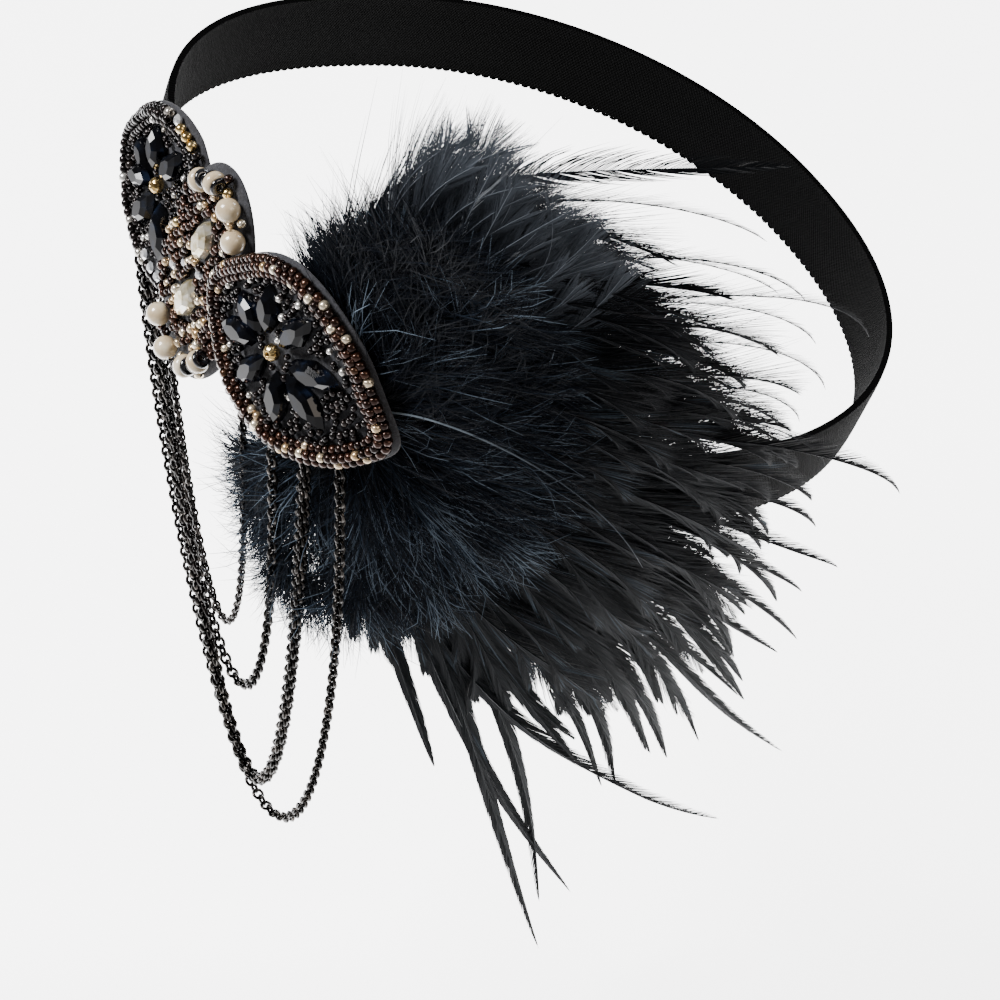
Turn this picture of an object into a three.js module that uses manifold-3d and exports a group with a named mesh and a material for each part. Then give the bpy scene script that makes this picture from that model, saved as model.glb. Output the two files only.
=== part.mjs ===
// Feather headband: a beaded forehead applique with a fan of feathers at one side, chain swags and an elastic loop.
// Millimetres, +Z up, forehead towards -Y, feathers on +X. The origin is the middle of the loop, where the head sits.
import * as THREE from "three";
import { mergeVertices } from "three/addons/utils/BufferGeometryUtils.js";
import Module from "manifold-3d";

const wasm = await Module();
wasm.setup();

// The loop round the head: half depths and half width of its plan, and how square each half is.
const LOOP = { front: 91, back: 94, side: 77, frontPower: 2.5, backPower: 2.1 };
// How the headband sits: the front raised, the feather side lowered, and the wall leaning forward, in degrees.
const WORN = { pitch: -16.7, roll: 19.6, lean: 10 };
const BAND = { width: 21, thickness: 1.6, sections: 64 };
const GAP = 0.3;
const FELT = 1.4;
// A felt plate's rings of points, as shares of the way from its centre to its edge.
const PLATE_RINGS = [0.02, 0.5, 1];
const DISC_SIDES = 20;

// One beaded wing, as points round its middle: across, towards the tip, and up.
const WING_OUTLINE = [
  { across: -23.5, up: -3 },
  { across: -14, up: 12 },
  { across: -4, up: 21 },
  { across: 6, up: 22.5 },
  { across: 16, up: 17.5 },
  { across: 22.5, up: 9 },
  { across: 27, up: 0 },
  { across: 23.5, up: -8 },
  { across: 17, up: -15.5 },
  { across: 6, up: -22 },
  { across: -5, up: -21.5 },
  { across: -13, up: -17.5 },
];
const WING_EDGE_POINTS = 30;
const FINE_EDGE_POINTS = 240;
// Each wing: where its middle lies on the wall, its turn and size, how it stands out from the wall, and where on it
// the flower sits.
const WINGS = [
  {
    name: "left",
    side: 1,
    across: 30,
    up: 8.7,
    turn: 2.5,
    size: 1,
    innerRise: 4.6,
    slope: 0.17,
    slopeFrom: 6.5,
    flower: new THREE.Vector2(0, 0),
    firstPetal: 22,
  },
  {
    name: "right",
    side: -1,
    across: 16,
    up: 2,
    turn: -3,
    size: 0.95,
    innerRise: 1.1,
    slope: 0.155,
    slopeFrom: 15,
    flower: new THREE.Vector2(5.8, 1.5),
    firstPetal: 20,
  },
];
const RIM = { inset: 0.87, halfWidth: 2.2, height: 2.2 };
const PETAL = { count: 8, innerRadius: 3.4, outerShare: 0.7, height: 3.4 };
// A petal's half width grows with its distance from the flower's centre, up to a widest.
const PETAL_WIDTH = { least: 0.6, growth: 0.25, widest: 3.4 };
const FLOWER_BEAD_RADIUS = 1.9;

// The medallion lies over the right wing and under the left one.
const MEDALLION = { across: 1.5, halfWidth: 14.8, halfHeight: 28.5, rise: 2.8, ringAcross: 12.2, ringUp: 24.6 };
const PEARL_RADIUS = 2.6;
const BARREL = { radius: 2.6, halfLength: 1.9, endRadius: 1.7 };
// Beads round the medallion, by the angle on its oval.
const MEDALLION_RING = [
  { name: "pearl_1", kind: "pearl", angle: 68 },
  { name: "pearl_2", kind: "pearl", angle: 46 },
  { name: "pearl_3", kind: "pearl", angle: 232 },
  { name: "pearl_4", kind: "pearl", angle: 260 },
  { name: "striped_bead_1", kind: "barrel", angle: 122 },
  { name: "striped_bead_2", kind: "barrel", angle: 98 },
  { name: "striped_bead_3", kind: "barrel", angle: 296 },
  { name: "striped_bead_4", kind: "barrel", angle: 316 },
];
const CRYSTAL = { halfLength: 5.6, halfWidth: 3, height: 3.4, up: 8.4 };

// Chains from the left wing's lower edge to the right wing's: where each hangs and how deep its swag is.
const CHAINS = [
  { name: "chain_fine", diameter: 1.8, leftAcross: 25.5, rightAcross: 13.4, sag: 72, fullness: 0.62 },
  { name: "chain_short", diameter: 2.4, leftAcross: 35, rightAcross: 17.8, sag: 86, fullness: 0.62 },
  { name: "chain_rope", diameter: 2.9, leftAcross: 42.6, rightAcross: 23, sag: 115, fullness: 0.95 },
  { name: "chain_long", diameter: 2.4, leftAcross: 49, rightAcross: 27.4, sag: 127, fullness: 0.62 },
];
const CHAIN_STEPS = 24;
const CHAIN_SIDES = 8;

// The feathers spread from one point on the wall, under the left wing.
const FAN = { across: 46, up: 2, padRadius: 19, padRise: 1.1 };
const HACKLE = { rise: 3.4, headRadius: 15, headThickness: 1.2, halfWidth: 6.5, halfThickness: 0.5, rootAt: 5 };
const HACKLE_REACH = 150;
// The longest hackles, top to bottom: the tip's direction from the fan's centre, its distance, droop and lift.
const LONG_HACKLES = [
  { turn: 64, reach: 119, droop: 26, lift: 20 },
  { turn: 55, reach: 101, droop: 16, lift: 17 },
  { turn: 48, reach: 96, droop: 20, lift: 24 },
  { turn: 42, reach: 100, droop: 24, lift: 17 },
  { turn: 36, reach: 98, droop: 22, lift: 24 },
  { turn: 31, reach: 111, droop: 24, lift: 17 },
  { turn: 26, reach: 99, droop: 16, lift: 24 },
  { turn: 18, reach: 96, droop: 10, lift: 17 },
  { turn: 10, reach: 103, droop: 8, lift: 24 },
  { turn: 3, reach: 126, droop: 14, lift: 26 },
  { turn: -4, reach: 114, droop: 4, lift: 17 },
  { turn: -9, reach: 123, droop: 8, lift: 24 },
  { turn: -15, reach: 125, droop: 6, lift: 17 },
  { turn: -20, reach: 127, droop: 8, lift: 24 },
  { turn: -24, reach: 134, droop: 8, lift: 17 },
  { turn: -29, reach: 124, droop: 6, lift: 24 },
  { turn: -34, reach: 158, droop: 10, lift: 22 },
  { turn: -37, reach: 135, droop: 8, lift: 17 },
  { turn: -42, reach: 154, droop: 8, lift: 24 },
  { turn: -48, reach: 125, droop: 6, lift: 17 },
  { turn: -53, reach: 120, droop: 4, lift: 24 },
  { turn: -57, reach: 142, droop: 6, lift: 17 },
  { turn: -62, reach: 157, droop: 8, lift: 24 },
  { turn: -65, reach: 97, droop: -4, lift: 17 },
];
// Shorter hackles laid over them, spread evenly between two directions.
const OVER_HACKLES = { count: 9, fromTurn: 66, toTurn: -70, reach: 88, uneven: 7, droop: 8, lift: 29 };

// The soft down over the hackles' roots: each lock's direction, reach and how far its end stands out.
const DOWN = {
  rise: 6,
  headRadius: 12.5,
  headThickness: 1.2,
  rootAt: 5,
  flatTo: 30,
  halfWidth: 10.5,
  under: 0.6,
  swell: 0.26,
};
const DOWN_LOCKS = [
  { turn: 126, reach: 40, lift: 0.5 },
  { turn: 112, reach: 50, lift: 5 },
  { turn: 98, reach: 88, lift: 12 },
  { turn: 86, reach: 99, lift: 14 },
  { turn: 75, reach: 92, lift: 13 },
  { turn: 60, reach: 68, lift: 10 },
  { turn: 42, reach: 60, lift: 10 },
  { turn: 24, reach: 58, lift: 10 },
  { turn: 6, reach: 60, lift: 10 },
  { turn: -12, reach: 62, lift: 10 },
  { turn: -30, reach: 63, lift: 10 },
  { turn: -48, reach: 65, lift: 10 },
  { turn: -65, reach: 66, lift: 9 },
  { turn: -80, reach: 65, lift: 5 },
  { turn: -94, reach: 60, lift: 0 },
  { turn: -107, reach: 50, lift: -4 },
  { turn: -121, reach: 41, lift: -5 },
];
// A blade's sections, closer together towards the quill, and the least size of its tip.
const BLADE = { stations: 4, spacing: 1.5, tipHalfWidth: 0.4, tipThickness: 0.15, step: 0.02 };

const rad = THREE.MathUtils.degToRad;
const lerp = THREE.MathUtils.lerp;

const finish = {
  elastic: new THREE.MeshStandardMaterial({ color: "#141416", roughness: 0.95, metalness: 0 }),
  felt: new THREE.MeshStandardMaterial({ color: "#4a4a4e", roughness: 0.95, metalness: 0 }),
  seedBead: new THREE.MeshStandardMaterial({ color: "#5a4632", roughness: 0.3, metalness: 0.8 }),
  jetStone: new THREE.MeshStandardMaterial({ color: "#101218", roughness: 0.08, metalness: 0 }),
  clearStone: new THREE.MeshStandardMaterial({ color: "#e6dfc4", roughness: 0.05, metalness: 0 }),
  pearl: new THREE.MeshStandardMaterial({ color: "#ece4d2", roughness: 0.25, metalness: 0 }),
  gilt: new THREE.MeshStandardMaterial({ color: "#b98a45", roughness: 0.25, metalness: 1 }),
  gunmetal: new THREE.MeshStandardMaterial({ color: "#2a2828", roughness: 0.3, metalness: 1 }),
  feather: new THREE.MeshStandardMaterial({ color: "#0c0d11", roughness: 0.7, metalness: 0 }),
};

// The loop's plan, starting at the middle of the forehead and going towards +X.
class HeadLoop extends THREE.Curve {
  getPoint(t, target = new THREE.Vector3()) {
    const angle = 2 * Math.PI * t;
    const power = 2 / (Math.cos(angle) > 0 ? LOOP.frontPower : LOOP.backPower);
    const across = Math.sign(Math.sin(angle)) * Math.abs(Math.sin(angle)) ** power;
    const along = Math.abs(Math.cos(angle)) ** power;
    return target.set(LOOP.side * across, Math.cos(angle) > 0 ? -LOOP.front * along : LOOP.back * along, 0);
  }
}
const headLoop = new HeadLoop();
headLoop.arcLengthDivisions = 4000;
const loopLength = headLoop.getLength();
const wallUp = new THREE.Vector3(0, -Math.sin(rad(WORN.lean)), Math.cos(rad(WORN.lean)));

// The wall's directions at a distance round the loop: along it, outwards and up.
function wallAxes(across) {
  const at = THREE.MathUtils.euclideanModulo(across / loopLength, 1);
  const along = headLoop.getTangentAt(at);
  const out = new THREE.Vector3(along.y, -along.x, 0);
  return { foot: headLoop.getPointAt(at), along, out };
}

// A point by its distance round the loop from the forehead, its height on the wall and its distance out.
function wallPoint(across, up, rise) {
  const { foot, out } = wallAxes(across);
  return foot.addScaledVector(out, rise).addScaledVector(wallUp, up);
}

// A closed body from points and triangles, turned so that its faces point out.
function body(points, faces) {
  let volume = 0;
  for (let i = 0; i < faces.length; i += 3) {
    const [a, b, c] = [points[faces[i]], points[faces[i + 1]], points[faces[i + 2]]];
    volume += a.dot(b.clone().cross(c));
  }
  const geometry = new THREE.BufferGeometry().setFromPoints(points);
  geometry.setIndex(volume > 0 ? faces : faces.toReversed());
  geometry.computeVertexNormals();
  return geometry;
}

// Joins rings of points into a skin; a looped run meets its own start, an open one is capped.
// The diagonals change sides at each corner, so that the two faces of a thin bent blade stay parallel.
function skin(rings, looped = false) {
  const size = rings[0].length;
  const faces = [];
  const spans = looped ? rings.length : rings.length - 1;
  for (let i = 0; i < spans; i++) {
    const here = i * size;
    const next = ((i + 1) % rings.length) * size;
    for (let j = 0; j < size; j++) {
      const k = (j + 1) % size;
      if (j % 2 === 0) faces.push(here + j, next + j, next + k, here + j, next + k, here + k);
      else faces.push(here + j, next + j, here + k, here + k, next + j, next + k);
    }
  }
  if (!looped) {
    const last = (rings.length - 1) * size;
    for (let j = 1; j < size - 1; j++) {
      faces.push(0, j, j + 1);
      faces.push(last, last + j + 1, last + j);
    }
  }
  return body(rings.flat(), faces);
}

// A felt plate bent to the wall: an outline round a centre, with rings of points between them.
function bentPlate(centre, outline, rise, thickness) {
  const ring = (share, extra) =>
    outline.map(({ across, up }) => {
      const a = lerp(centre.across, across, share);
      const u = lerp(centre.up, up, share);
      return wallPoint(a, u, rise(a) + extra);
    });
  const under = PLATE_RINGS.map((share) => ring(share, 0));
  const over = PLATE_RINGS.map((share) => ring(share, thickness)).reverse();
  return skin([...under, ...over]);
}

function toSolid(geometry) {
  const plain = geometry.clone();
  plain.deleteAttribute("normal");
  plain.deleteAttribute("uv");
  const merged = mergeVertices(plain, 1e-4);
  const mesh = new wasm.Mesh({
    numProp: 3,
    vertProperties: new Float32Array(merged.attributes.position.array),
    triVerts: new Uint32Array(merged.index.array),
  });
  return new wasm.Manifold(mesh);
}

// The triangles of a mesh's outer shell alone, so that pockets closed in between blades are filled.
function outerShell(triangles, pointCount) {
  const group = Array.from({ length: pointCount }, (_, i) => i);
  const find = (i) => {
    while (group[i] !== i) i = group[i] = group[group[i]];
    return i;
  };
  for (let i = 0; i < triangles.length; i += 3) {
    group[find(triangles[i + 1])] = find(triangles[i]);
    group[find(triangles[i + 2])] = find(triangles[i]);
  }
  const shells = new Map();
  for (let i = 0; i < triangles.length; i += 3) {
    const key = find(triangles[i]);
    if (!shells.has(key)) shells.set(key, []);
    shells.get(key).push(...triangles.slice(i, i + 3));
  }
  return [...shells.values()].reduce((largest, shell) => (shell.length > largest.length ? shell : largest));
}

// Fuses overlapping bodies into one.
function fuse(geometries) {
  const solid = geometries.map(toSolid).reduce((whole, next) => whole.add(next));
  const { vertProperties, triVerts } = solid.getMesh();
  const geometry = new THREE.BufferGeometry();
  geometry.setAttribute("position", new THREE.BufferAttribute(vertProperties, 3));
  geometry.setIndex(outerShell(triVerts, vertProperties.length / 3));
  geometry.computeVertexNormals();
  return geometry;
}

function piece(name, geometry, material) {
  const mesh = new THREE.Mesh(geometry, material);
  mesh.name = name;
  return mesh;
}

// Seats a small piece on a surface over the wall: its own X along the loop, Y up, Z out, then turned about Z.
function seat(mesh, across, up, rise, turn = 0) {
  const before = wallPoint(across - 1, up, rise(across - 1));
  const along = wallPoint(across + 1, up, rise(across + 1)).sub(before).normalize();
  const out = new THREE.Vector3().crossVectors(along, wallUp).normalize();
  const upright = new THREE.Vector3().crossVectors(out, along);
  mesh.position.copy(wallPoint(across, up, rise(across)));
  mesh.quaternion.setFromRotationMatrix(new THREE.Matrix4().makeBasis(along, upright, out));
  mesh.rotateZ(rad(turn));
  return mesh;
}

function elasticBand() {
  const rings = [];
  const halfWidth = BAND.width / 2;
  const halfWall = BAND.thickness / 2;
  for (let i = 0; i < BAND.sections; i++) {
    const across = (loopLength * i) / BAND.sections;
    rings.push([
      wallPoint(across, -halfWidth, -halfWall),
      wallPoint(across, -halfWidth, halfWall),
      wallPoint(across, halfWidth, halfWall),
      wallPoint(across, halfWidth, -halfWall),
    ]);
  }
  return piece("elastic_band", skin(rings, true), finish.elastic);
}

// The wing's edge as a smooth closed curve in its own flat measure, from its flower.
const wingLoop = new THREE.CatmullRomCurve3(
  WING_OUTLINE.map(({ across, up }) => new THREE.Vector3(across, up, 0)),
  true,
);
const wingRing = wingLoop.getSpacedPoints(WING_EDGE_POINTS).slice(0, WING_EDGE_POINTS);

function wingRise(wing, across) {
  return wing.innerRise + wing.slope * Math.max(0, wing.side * across - wing.slopeFrom);
}

// A point of a wing's flat measure, as its place on the wall.
function onWing(wing, point, share = 1) {
  const turned = new THREE.Vector2(point.x, point.y).multiplyScalar(share * wing.size);
  turned.rotateAround(new THREE.Vector2(0, 0), rad(wing.turn));
  return { across: wing.side * (wing.across + turned.x), up: wing.up + turned.y };
}

function wingBacking(wing) {
  const centre = onWing(wing, new THREE.Vector2(0, 0));
  const outline = wingRing.map((point) => onWing(wing, point));
  const geometry = bentPlate(centre, outline, (across) => wingRise(wing, across), FELT);
  return piece(`wing_${wing.name}_backing`, geometry, finish.felt);
}

// The raised border that the rows of small beads make along the wing's edge.
function wingRim(wing) {
  const section = [
    { out: -RIM.halfWidth, rise: 0 },
    { out: -0.7 * RIM.halfWidth, rise: 0.75 * RIM.height },
    { out: 0, rise: RIM.height },
    { out: 0.7 * RIM.halfWidth, rise: 0.75 * RIM.height },
    { out: RIM.halfWidth, rise: 0 },
  ];
  const edge = shownEdge(wing);
  const rings = edge.map((point) =>
    section.map(({ out, rise }) => {
      const share = RIM.inset + out / point.length();
      const { across, up } = onWing(wing, point, share);
      return wallPoint(across, up, wingRise(wing, across) + FELT + GAP + rise);
    }),
  );
  return piece(`wing_${wing.name}_rim`, skin(rings, edge.length === wingRing.length), finish.seedBead);
}

// Whether a place on the wall is clear of the medallion by a margin.
function besideMedallion({ across, up }, margin) {
  const { halfWidth, halfHeight } = MEDALLION;
  return Math.hypot((across - MEDALLION.across) / (halfWidth + margin), up / (halfHeight + margin)) > 1;
}

// The run of a wing's edge that the medallion leaves bare; the left wing lies over it and keeps its whole edge.
function shownEdge(wing) {
  if (wing.innerRise > MEDALLION.rise) return wingRing;
  const bare = wingRing.map((point) => besideMedallion(onWing(wing, point, RIM.inset), RIM.halfWidth + GAP));
  const start = bare.findIndex((shown, i) => shown && !bare.at(i - 1));
  const turned = wingRing.map((_, i) => (start + i) % wingRing.length);
  return turned.filter((i) => bare[i]).map((i) => wingRing[i]);
}

// How far the wing's edge lies from its middle in a direction.
function wingReach(angle) {
  const aim = new THREE.Vector2(Math.cos(angle), Math.sin(angle));
  const nearest = wingRing.reduce((best, point) => {
    const turn = (p) => Math.acos(THREE.MathUtils.clamp((p.x * aim.x + p.y * aim.y) / p.length(), -1, 1));
    return turn(point) < turn(best) ? point : best;
  });
  return nearest.length();
}

// A pointed oval stone: flat back, girdle, sloping crown and a table.
function navette(halfLength, halfWidth, height) {
  const outline = [
    { x: 1, y: 0 },
    { x: 0.66, y: 0.6 },
    { x: 0, y: 1 },
    { x: -0.66, y: 0.6 },
    { x: -1, y: 0 },
    { x: -0.66, y: -0.6 },
    { x: 0, y: -1 },
    { x: 0.66, y: -0.6 },
  ];
  const levels = [
    { share: 0.86, at: 0 },
    { share: 1, at: 0.3 },
    { share: 0.82, at: 0.72 },
    { share: 0.5, at: 1 },
  ];
  const rings = levels.map(({ share, at }) =>
    outline.map(({ x, y }) => new THREE.Vector3(share * x * halfLength, share * y * halfWidth, at * height)),
  );
  return skin(rings);
}

function flower(wing) {
  const pieces = [];
  const above = (height) => (across) => wingRise(wing, across) + FELT + GAP + height;
  for (let i = 0; i < PETAL.count; i++) {
    const angle = rad(wing.firstPetal + (360 * i) / PETAL.count);
    const aim = new THREE.Vector2(Math.cos(angle), Math.sin(angle));
    const outer = PETAL.outerShare * (wingReach(angle) - wing.flower.dot(aim));
    const halfLength = (wing.size * (outer - PETAL.innerRadius)) / 2;
    const middle = (outer + PETAL.innerRadius) / 2;
    const { across, up } = onWing(wing, aim.multiplyScalar(middle).add(wing.flower));
    const halfWidth = Math.min(PETAL_WIDTH.least + PETAL_WIDTH.growth * middle, PETAL_WIDTH.widest);
    const hidden = wing.innerRise < MEDALLION.rise && !besideMedallion({ across, up }, halfWidth + GAP);
    if (hidden) continue;
    const stone = navette(halfLength, halfWidth, PETAL.height);
    const level = THREE.MathUtils.radToDeg(angle) + wing.turn;
    const turn = wing.side > 0 ? level : 180 - level;
    const name = `petal_${wing.name}_${pieces.length + 1}`;
    pieces.push(seat(piece(name, stone, finish.jetStone), across, up, above(0), turn));
  }
  const centre = onWing(wing, wing.flower);
  const bead = new THREE.SphereGeometry(FLOWER_BEAD_RADIUS, 10, 6);
  const rise = above(FLOWER_BEAD_RADIUS);
  pieces.push(seat(piece(`flower_bead_${wing.name}`, bead, finish.gilt), centre.across, centre.up, rise));
  return pieces;
}

function medallion() {
  const outline = [];
  for (let i = 0; i < WING_EDGE_POINTS; i++) {
    const angle = (2 * Math.PI * i) / WING_EDGE_POINTS;
    const across = MEDALLION.across + MEDALLION.halfWidth * Math.cos(angle);
    outline.push({ across, up: MEDALLION.halfHeight * Math.sin(angle) });
  }
  const backing = bentPlate({ across: MEDALLION.across, up: 0 }, outline, () => MEDALLION.rise, FELT);
  const pieces = [piece("medallion_backing", backing, finish.felt)];
  const above = (height) => () => MEDALLION.rise + FELT + GAP + height;
  for (const { name, kind, angle } of MEDALLION_RING) {
    const across = MEDALLION.across + MEDALLION.ringAcross * Math.cos(rad(angle));
    const up = MEDALLION.ringUp * Math.sin(rad(angle));
    if (kind === "pearl") {
      const pearl = new THREE.SphereGeometry(PEARL_RADIUS, 10, 6);
      pieces.push(seat(piece(name, pearl, finish.pearl), across, up, above(PEARL_RADIUS)));
    } else {
      // The barrel lies along the oval, so its own Y turns to the oval's edge.
      const run = Math.atan2(MEDALLION.ringUp * Math.cos(rad(angle)), -MEDALLION.ringAcross * Math.sin(rad(angle)));
      const turn = THREE.MathUtils.radToDeg(run) - 90;
      pieces.push(seat(piece(name, barrelBead(), finish.pearl), across, up, above(BARREL.radius), turn));
    }
  }
  for (const [name, up] of [["crystal_upper", CRYSTAL.up], ["crystal_lower", -CRYSTAL.up]]) {
    const stone = navette(CRYSTAL.halfLength, CRYSTAL.halfWidth, CRYSTAL.height);
    pieces.push(seat(piece(name, stone, finish.clearStone), 0, up, above(0), 90));
  }
  return pieces;
}

function barrelBead() {
  const profile = [
    new THREE.Vector2(0, -BARREL.halfLength),
    new THREE.Vector2(BARREL.endRadius, -BARREL.halfLength),
    new THREE.Vector2(BARREL.radius, -BARREL.halfLength / 3),
    new THREE.Vector2(BARREL.radius, BARREL.halfLength / 3),
    new THREE.Vector2(BARREL.endRadius, BARREL.halfLength),
    new THREE.Vector2(0, BARREL.halfLength),
  ];
  return new THREE.LatheGeometry(profile, 10);
}

// The lowest point of a wing's edge over a chain's width.
function lowerEdge(wing, across, width) {
  const near = wingLoop
    .getSpacedPoints(FINE_EDGE_POINTS)
    .map((point) => onWing(wing, point))
    .filter((point) => Math.abs(point.across - wing.side * across) < 0.6 * width);
  return Math.min(...near.map((point) => point.up));
}

// One swag, hung in world space between the two wings' lower edges.
function chain({ name, diameter, leftAcross, rightAcross, sag, fullness }, worn) {
  const end = (wing, across) => {
    const place = wing.side * across;
    const clear = GAP + 0.25 * diameter;
    const hook = wallPoint(place, lowerEdge(wing, across, diameter) - clear, wingRise(wing, place) + FELT / 2);
    return hook.applyEuler(worn.rotation);
  };
  const [left, right] = [end(WINGS[0], leftAcross), end(WINGS[1], rightAcross)];
  const points = [];
  for (let i = 0; i <= CHAIN_STEPS; i++) {
    const share = (1 - Math.cos((Math.PI * i) / CHAIN_STEPS)) / 2;
    const point = left.clone().lerp(right, share);
    point.z -= sag * (4 * share * (1 - share)) ** fullness;
    points.push(point);
  }
  const section = new THREE.Shape();
  for (let i = 0; i < CHAIN_SIDES; i++) {
    const angle = (2 * Math.PI * i) / CHAIN_SIDES;
    const corner = [0.5 * diameter * Math.cos(angle), 0.5 * diameter * Math.sin(angle)];
    if (i === 0) section.moveTo(...corner);
    else section.lineTo(...corner);
  }
  const path = new THREE.CatmullRomCurve3(points);
  const geometry = new THREE.ExtrudeGeometry(section, { extrudePath: path, steps: CHAIN_STEPS, bevelEnabled: false });
  return piece(name, geometry, finish.gunmetal);
}

// A point of the fan, by its direction and distance from the fan's centre.
function fanPoint(turn, distance) {
  return { across: FAN.across + distance * Math.cos(rad(turn)), up: FAN.up + distance * Math.sin(rad(turn)) };
}

function disc(radius, rise, thickness) {
  const outline = [];
  for (let i = 0; i < DISC_SIDES; i++) outline.push(fanPoint((360 * i) / DISC_SIDES, radius));
  return bentPlate(FAN, outline, () => rise, thickness);
}

// One flat lock or feather from the fan's centre to its tip, with a diamond section.
function blade({ turn, reach, droop = 0, rootAt, halfWidth, rise, under, over }) {
  const rings = [];
  const centreAt = (share) => {
    const distance = lerp(rootAt, reach, share);
    const place = fanPoint(turn + droop * (1 - share), distance);
    return { place, distance, point: wallPoint(place.across, place.up, rise(distance)) };
  };
  for (let i = 0; i <= BLADE.stations; i++) {
    const share = (i / BLADE.stations) ** BLADE.spacing;
    const { place, distance, point } = centreAt(share);
    const before = centreAt(Math.max(0, share - BLADE.step)).point;
    const ahead = centreAt(Math.min(1, share + BLADE.step)).point.sub(before).normalize();
    const { out } = wallAxes(place.across);
    const side = new THREE.Vector3().crossVectors(ahead, out).normalize();
    const width = Math.max(BLADE.tipHalfWidth, halfWidth * vaneWidth(share));
    const rim = Math.max(BLADE.tipThickness, 1 - share ** 4);
    rings.push([
      point.clone().addScaledVector(side, width),
      point.clone().addScaledVector(out, rim * over(distance)),
      point.clone().addScaledVector(side, -width),
      point.clone().addScaledVector(out, -rim * under),
    ]);
  }
  return skin(rings);
}

// A vane's width along its length: slim at the quill, widest past the middle, pointed at the tip.
function vaneWidth(share) {
  return Math.min(0.3 + 1.6 * share, 1) * (1 - share ** 3);
}

function hacklePlume() {
  const half = HACKLE.halfThickness;
  const feather = ({ lift, ...row }) =>
    blade({
      ...row,
      rootAt: HACKLE.rootAt,
      halfWidth: HACKLE.halfWidth,
      rise: (distance) => HACKLE.rise + lift * (distance / HACKLE_REACH) ** 2,
      under: half,
      over: () => half,
    });
  const blades = LONG_HACKLES.map(feather);
  const { count, fromTurn, toTurn, reach, uneven, droop, lift } = OVER_HACKLES;
  for (let i = 0; i < count; i++) {
    const turn = lerp(fromTurn, toTurn, i / (count - 1));
    blades.push(feather({ turn, reach: reach + uneven * Math.sin(2.4 * i), droop, lift }));
  }
  const head = disc(HACKLE.headRadius, HACKLE.rise - HACKLE.headThickness / 2, HACKLE.headThickness);
  return piece("hackle_plume", fuse([head, ...blades]), finish.feather);
}

function downPlume() {
  const locks = DOWN_LOCKS.map(({ turn, reach, lift }) => {
    const past = (distance) => THREE.MathUtils.clamp((distance - DOWN.flatTo) / (reach - DOWN.flatTo), 0, 1);
    return blade({
      turn,
      reach,
      rootAt: DOWN.rootAt,
      halfWidth: DOWN.halfWidth,
      rise: (distance) => DOWN.rise + lift * past(distance) ** 2,
      under: DOWN.under,
      over: (distance) => DOWN.under + DOWN.swell * Math.max(lift, 0) * Math.sin(Math.PI * past(distance)),
    });
  });
  const head = disc(DOWN.headRadius, DOWN.rise - DOWN.headThickness / 2, DOWN.headThickness);
  return piece("down_plume", fuse([head, ...locks]), finish.feather);
}

const worn = new THREE.Group();
worn.rotation.set(rad(WORN.pitch), rad(WORN.roll), 0);
worn.add(elasticBand());
for (const wing of WINGS) worn.add(wingBacking(wing), wingRim(wing), ...flower(wing));
worn.add(...medallion());
worn.add(piece("feather_pad", disc(FAN.padRadius, FAN.padRise, FELT), finish.felt));
worn.add(hacklePlume(), downPlume());

const headband = new THREE.Group();
headband.add(worn);
for (const row of CHAINS) headband.add(chain(row, worn));

export default headband;
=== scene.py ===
"""Looks of a feather headband: hackles, down, beadwork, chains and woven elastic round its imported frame."""

import math
from collections import namedtuple
from contextlib import contextmanager
from itertools import cycle

import bpy
import numpy as np
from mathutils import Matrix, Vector


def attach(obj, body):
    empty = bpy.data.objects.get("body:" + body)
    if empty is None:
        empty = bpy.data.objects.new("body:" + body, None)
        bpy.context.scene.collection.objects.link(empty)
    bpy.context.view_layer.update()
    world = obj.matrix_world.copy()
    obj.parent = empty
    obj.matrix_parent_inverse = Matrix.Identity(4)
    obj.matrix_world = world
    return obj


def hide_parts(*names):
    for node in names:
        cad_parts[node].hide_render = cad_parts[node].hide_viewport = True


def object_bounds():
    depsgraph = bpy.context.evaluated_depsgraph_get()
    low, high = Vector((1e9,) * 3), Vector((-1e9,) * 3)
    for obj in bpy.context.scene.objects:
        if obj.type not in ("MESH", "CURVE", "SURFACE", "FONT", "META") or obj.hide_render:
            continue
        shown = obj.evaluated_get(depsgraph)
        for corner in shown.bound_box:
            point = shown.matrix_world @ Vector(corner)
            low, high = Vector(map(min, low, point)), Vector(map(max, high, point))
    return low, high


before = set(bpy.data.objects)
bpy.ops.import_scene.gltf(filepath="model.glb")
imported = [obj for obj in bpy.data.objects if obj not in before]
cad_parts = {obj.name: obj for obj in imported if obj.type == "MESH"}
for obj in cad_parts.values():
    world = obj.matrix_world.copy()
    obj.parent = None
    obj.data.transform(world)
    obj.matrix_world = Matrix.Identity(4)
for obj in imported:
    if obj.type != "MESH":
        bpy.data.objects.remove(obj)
cad_low, cad_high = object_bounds()

# All sizes are in millimetres until a mesh is made.
MM = 0.001

# The loop's plan and how it sits, as in the part's source.
LOOP = {"front": 91, "back": 94, "side": 77, "front_power": 2.5, "back_power": 2.1}
WORN = {"pitch": -16.7, "roll": 19.6, "lean": 10}
GAP = 0.3
FELT = 1.4
BAND = {"width": 21, "thickness": 1.5}

# One beaded wing, as points round its middle: across, towards the tip, and up.
WING_OUTLINE = (
    (-23.5, -3), (-14, 12), (-4, 21), (6, 22.5), (16, 17.5), (22.5, 9),
    (27, 0), (23.5, -8), (17, -15.5), (6, -22), (-5, -21.5), (-13, -17.5),
)
# Each wing: its middle, turn and size, how it stands off the wall, and where its flower sits.
Wing = namedtuple("Wing", "name side across up turn size inner_rise slope slope_from flower")
WINGS = (
    Wing("left", 1, 30, 8.7, 2.5, 1, 4.6, 0.17, 6.5, (0, 0)),
    Wing("right", -1, 16, 2, -3, 0.95, 1.1, 0.155, 15, (5.8, 1.5)),
)
RIM_INSET = 0.87
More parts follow.
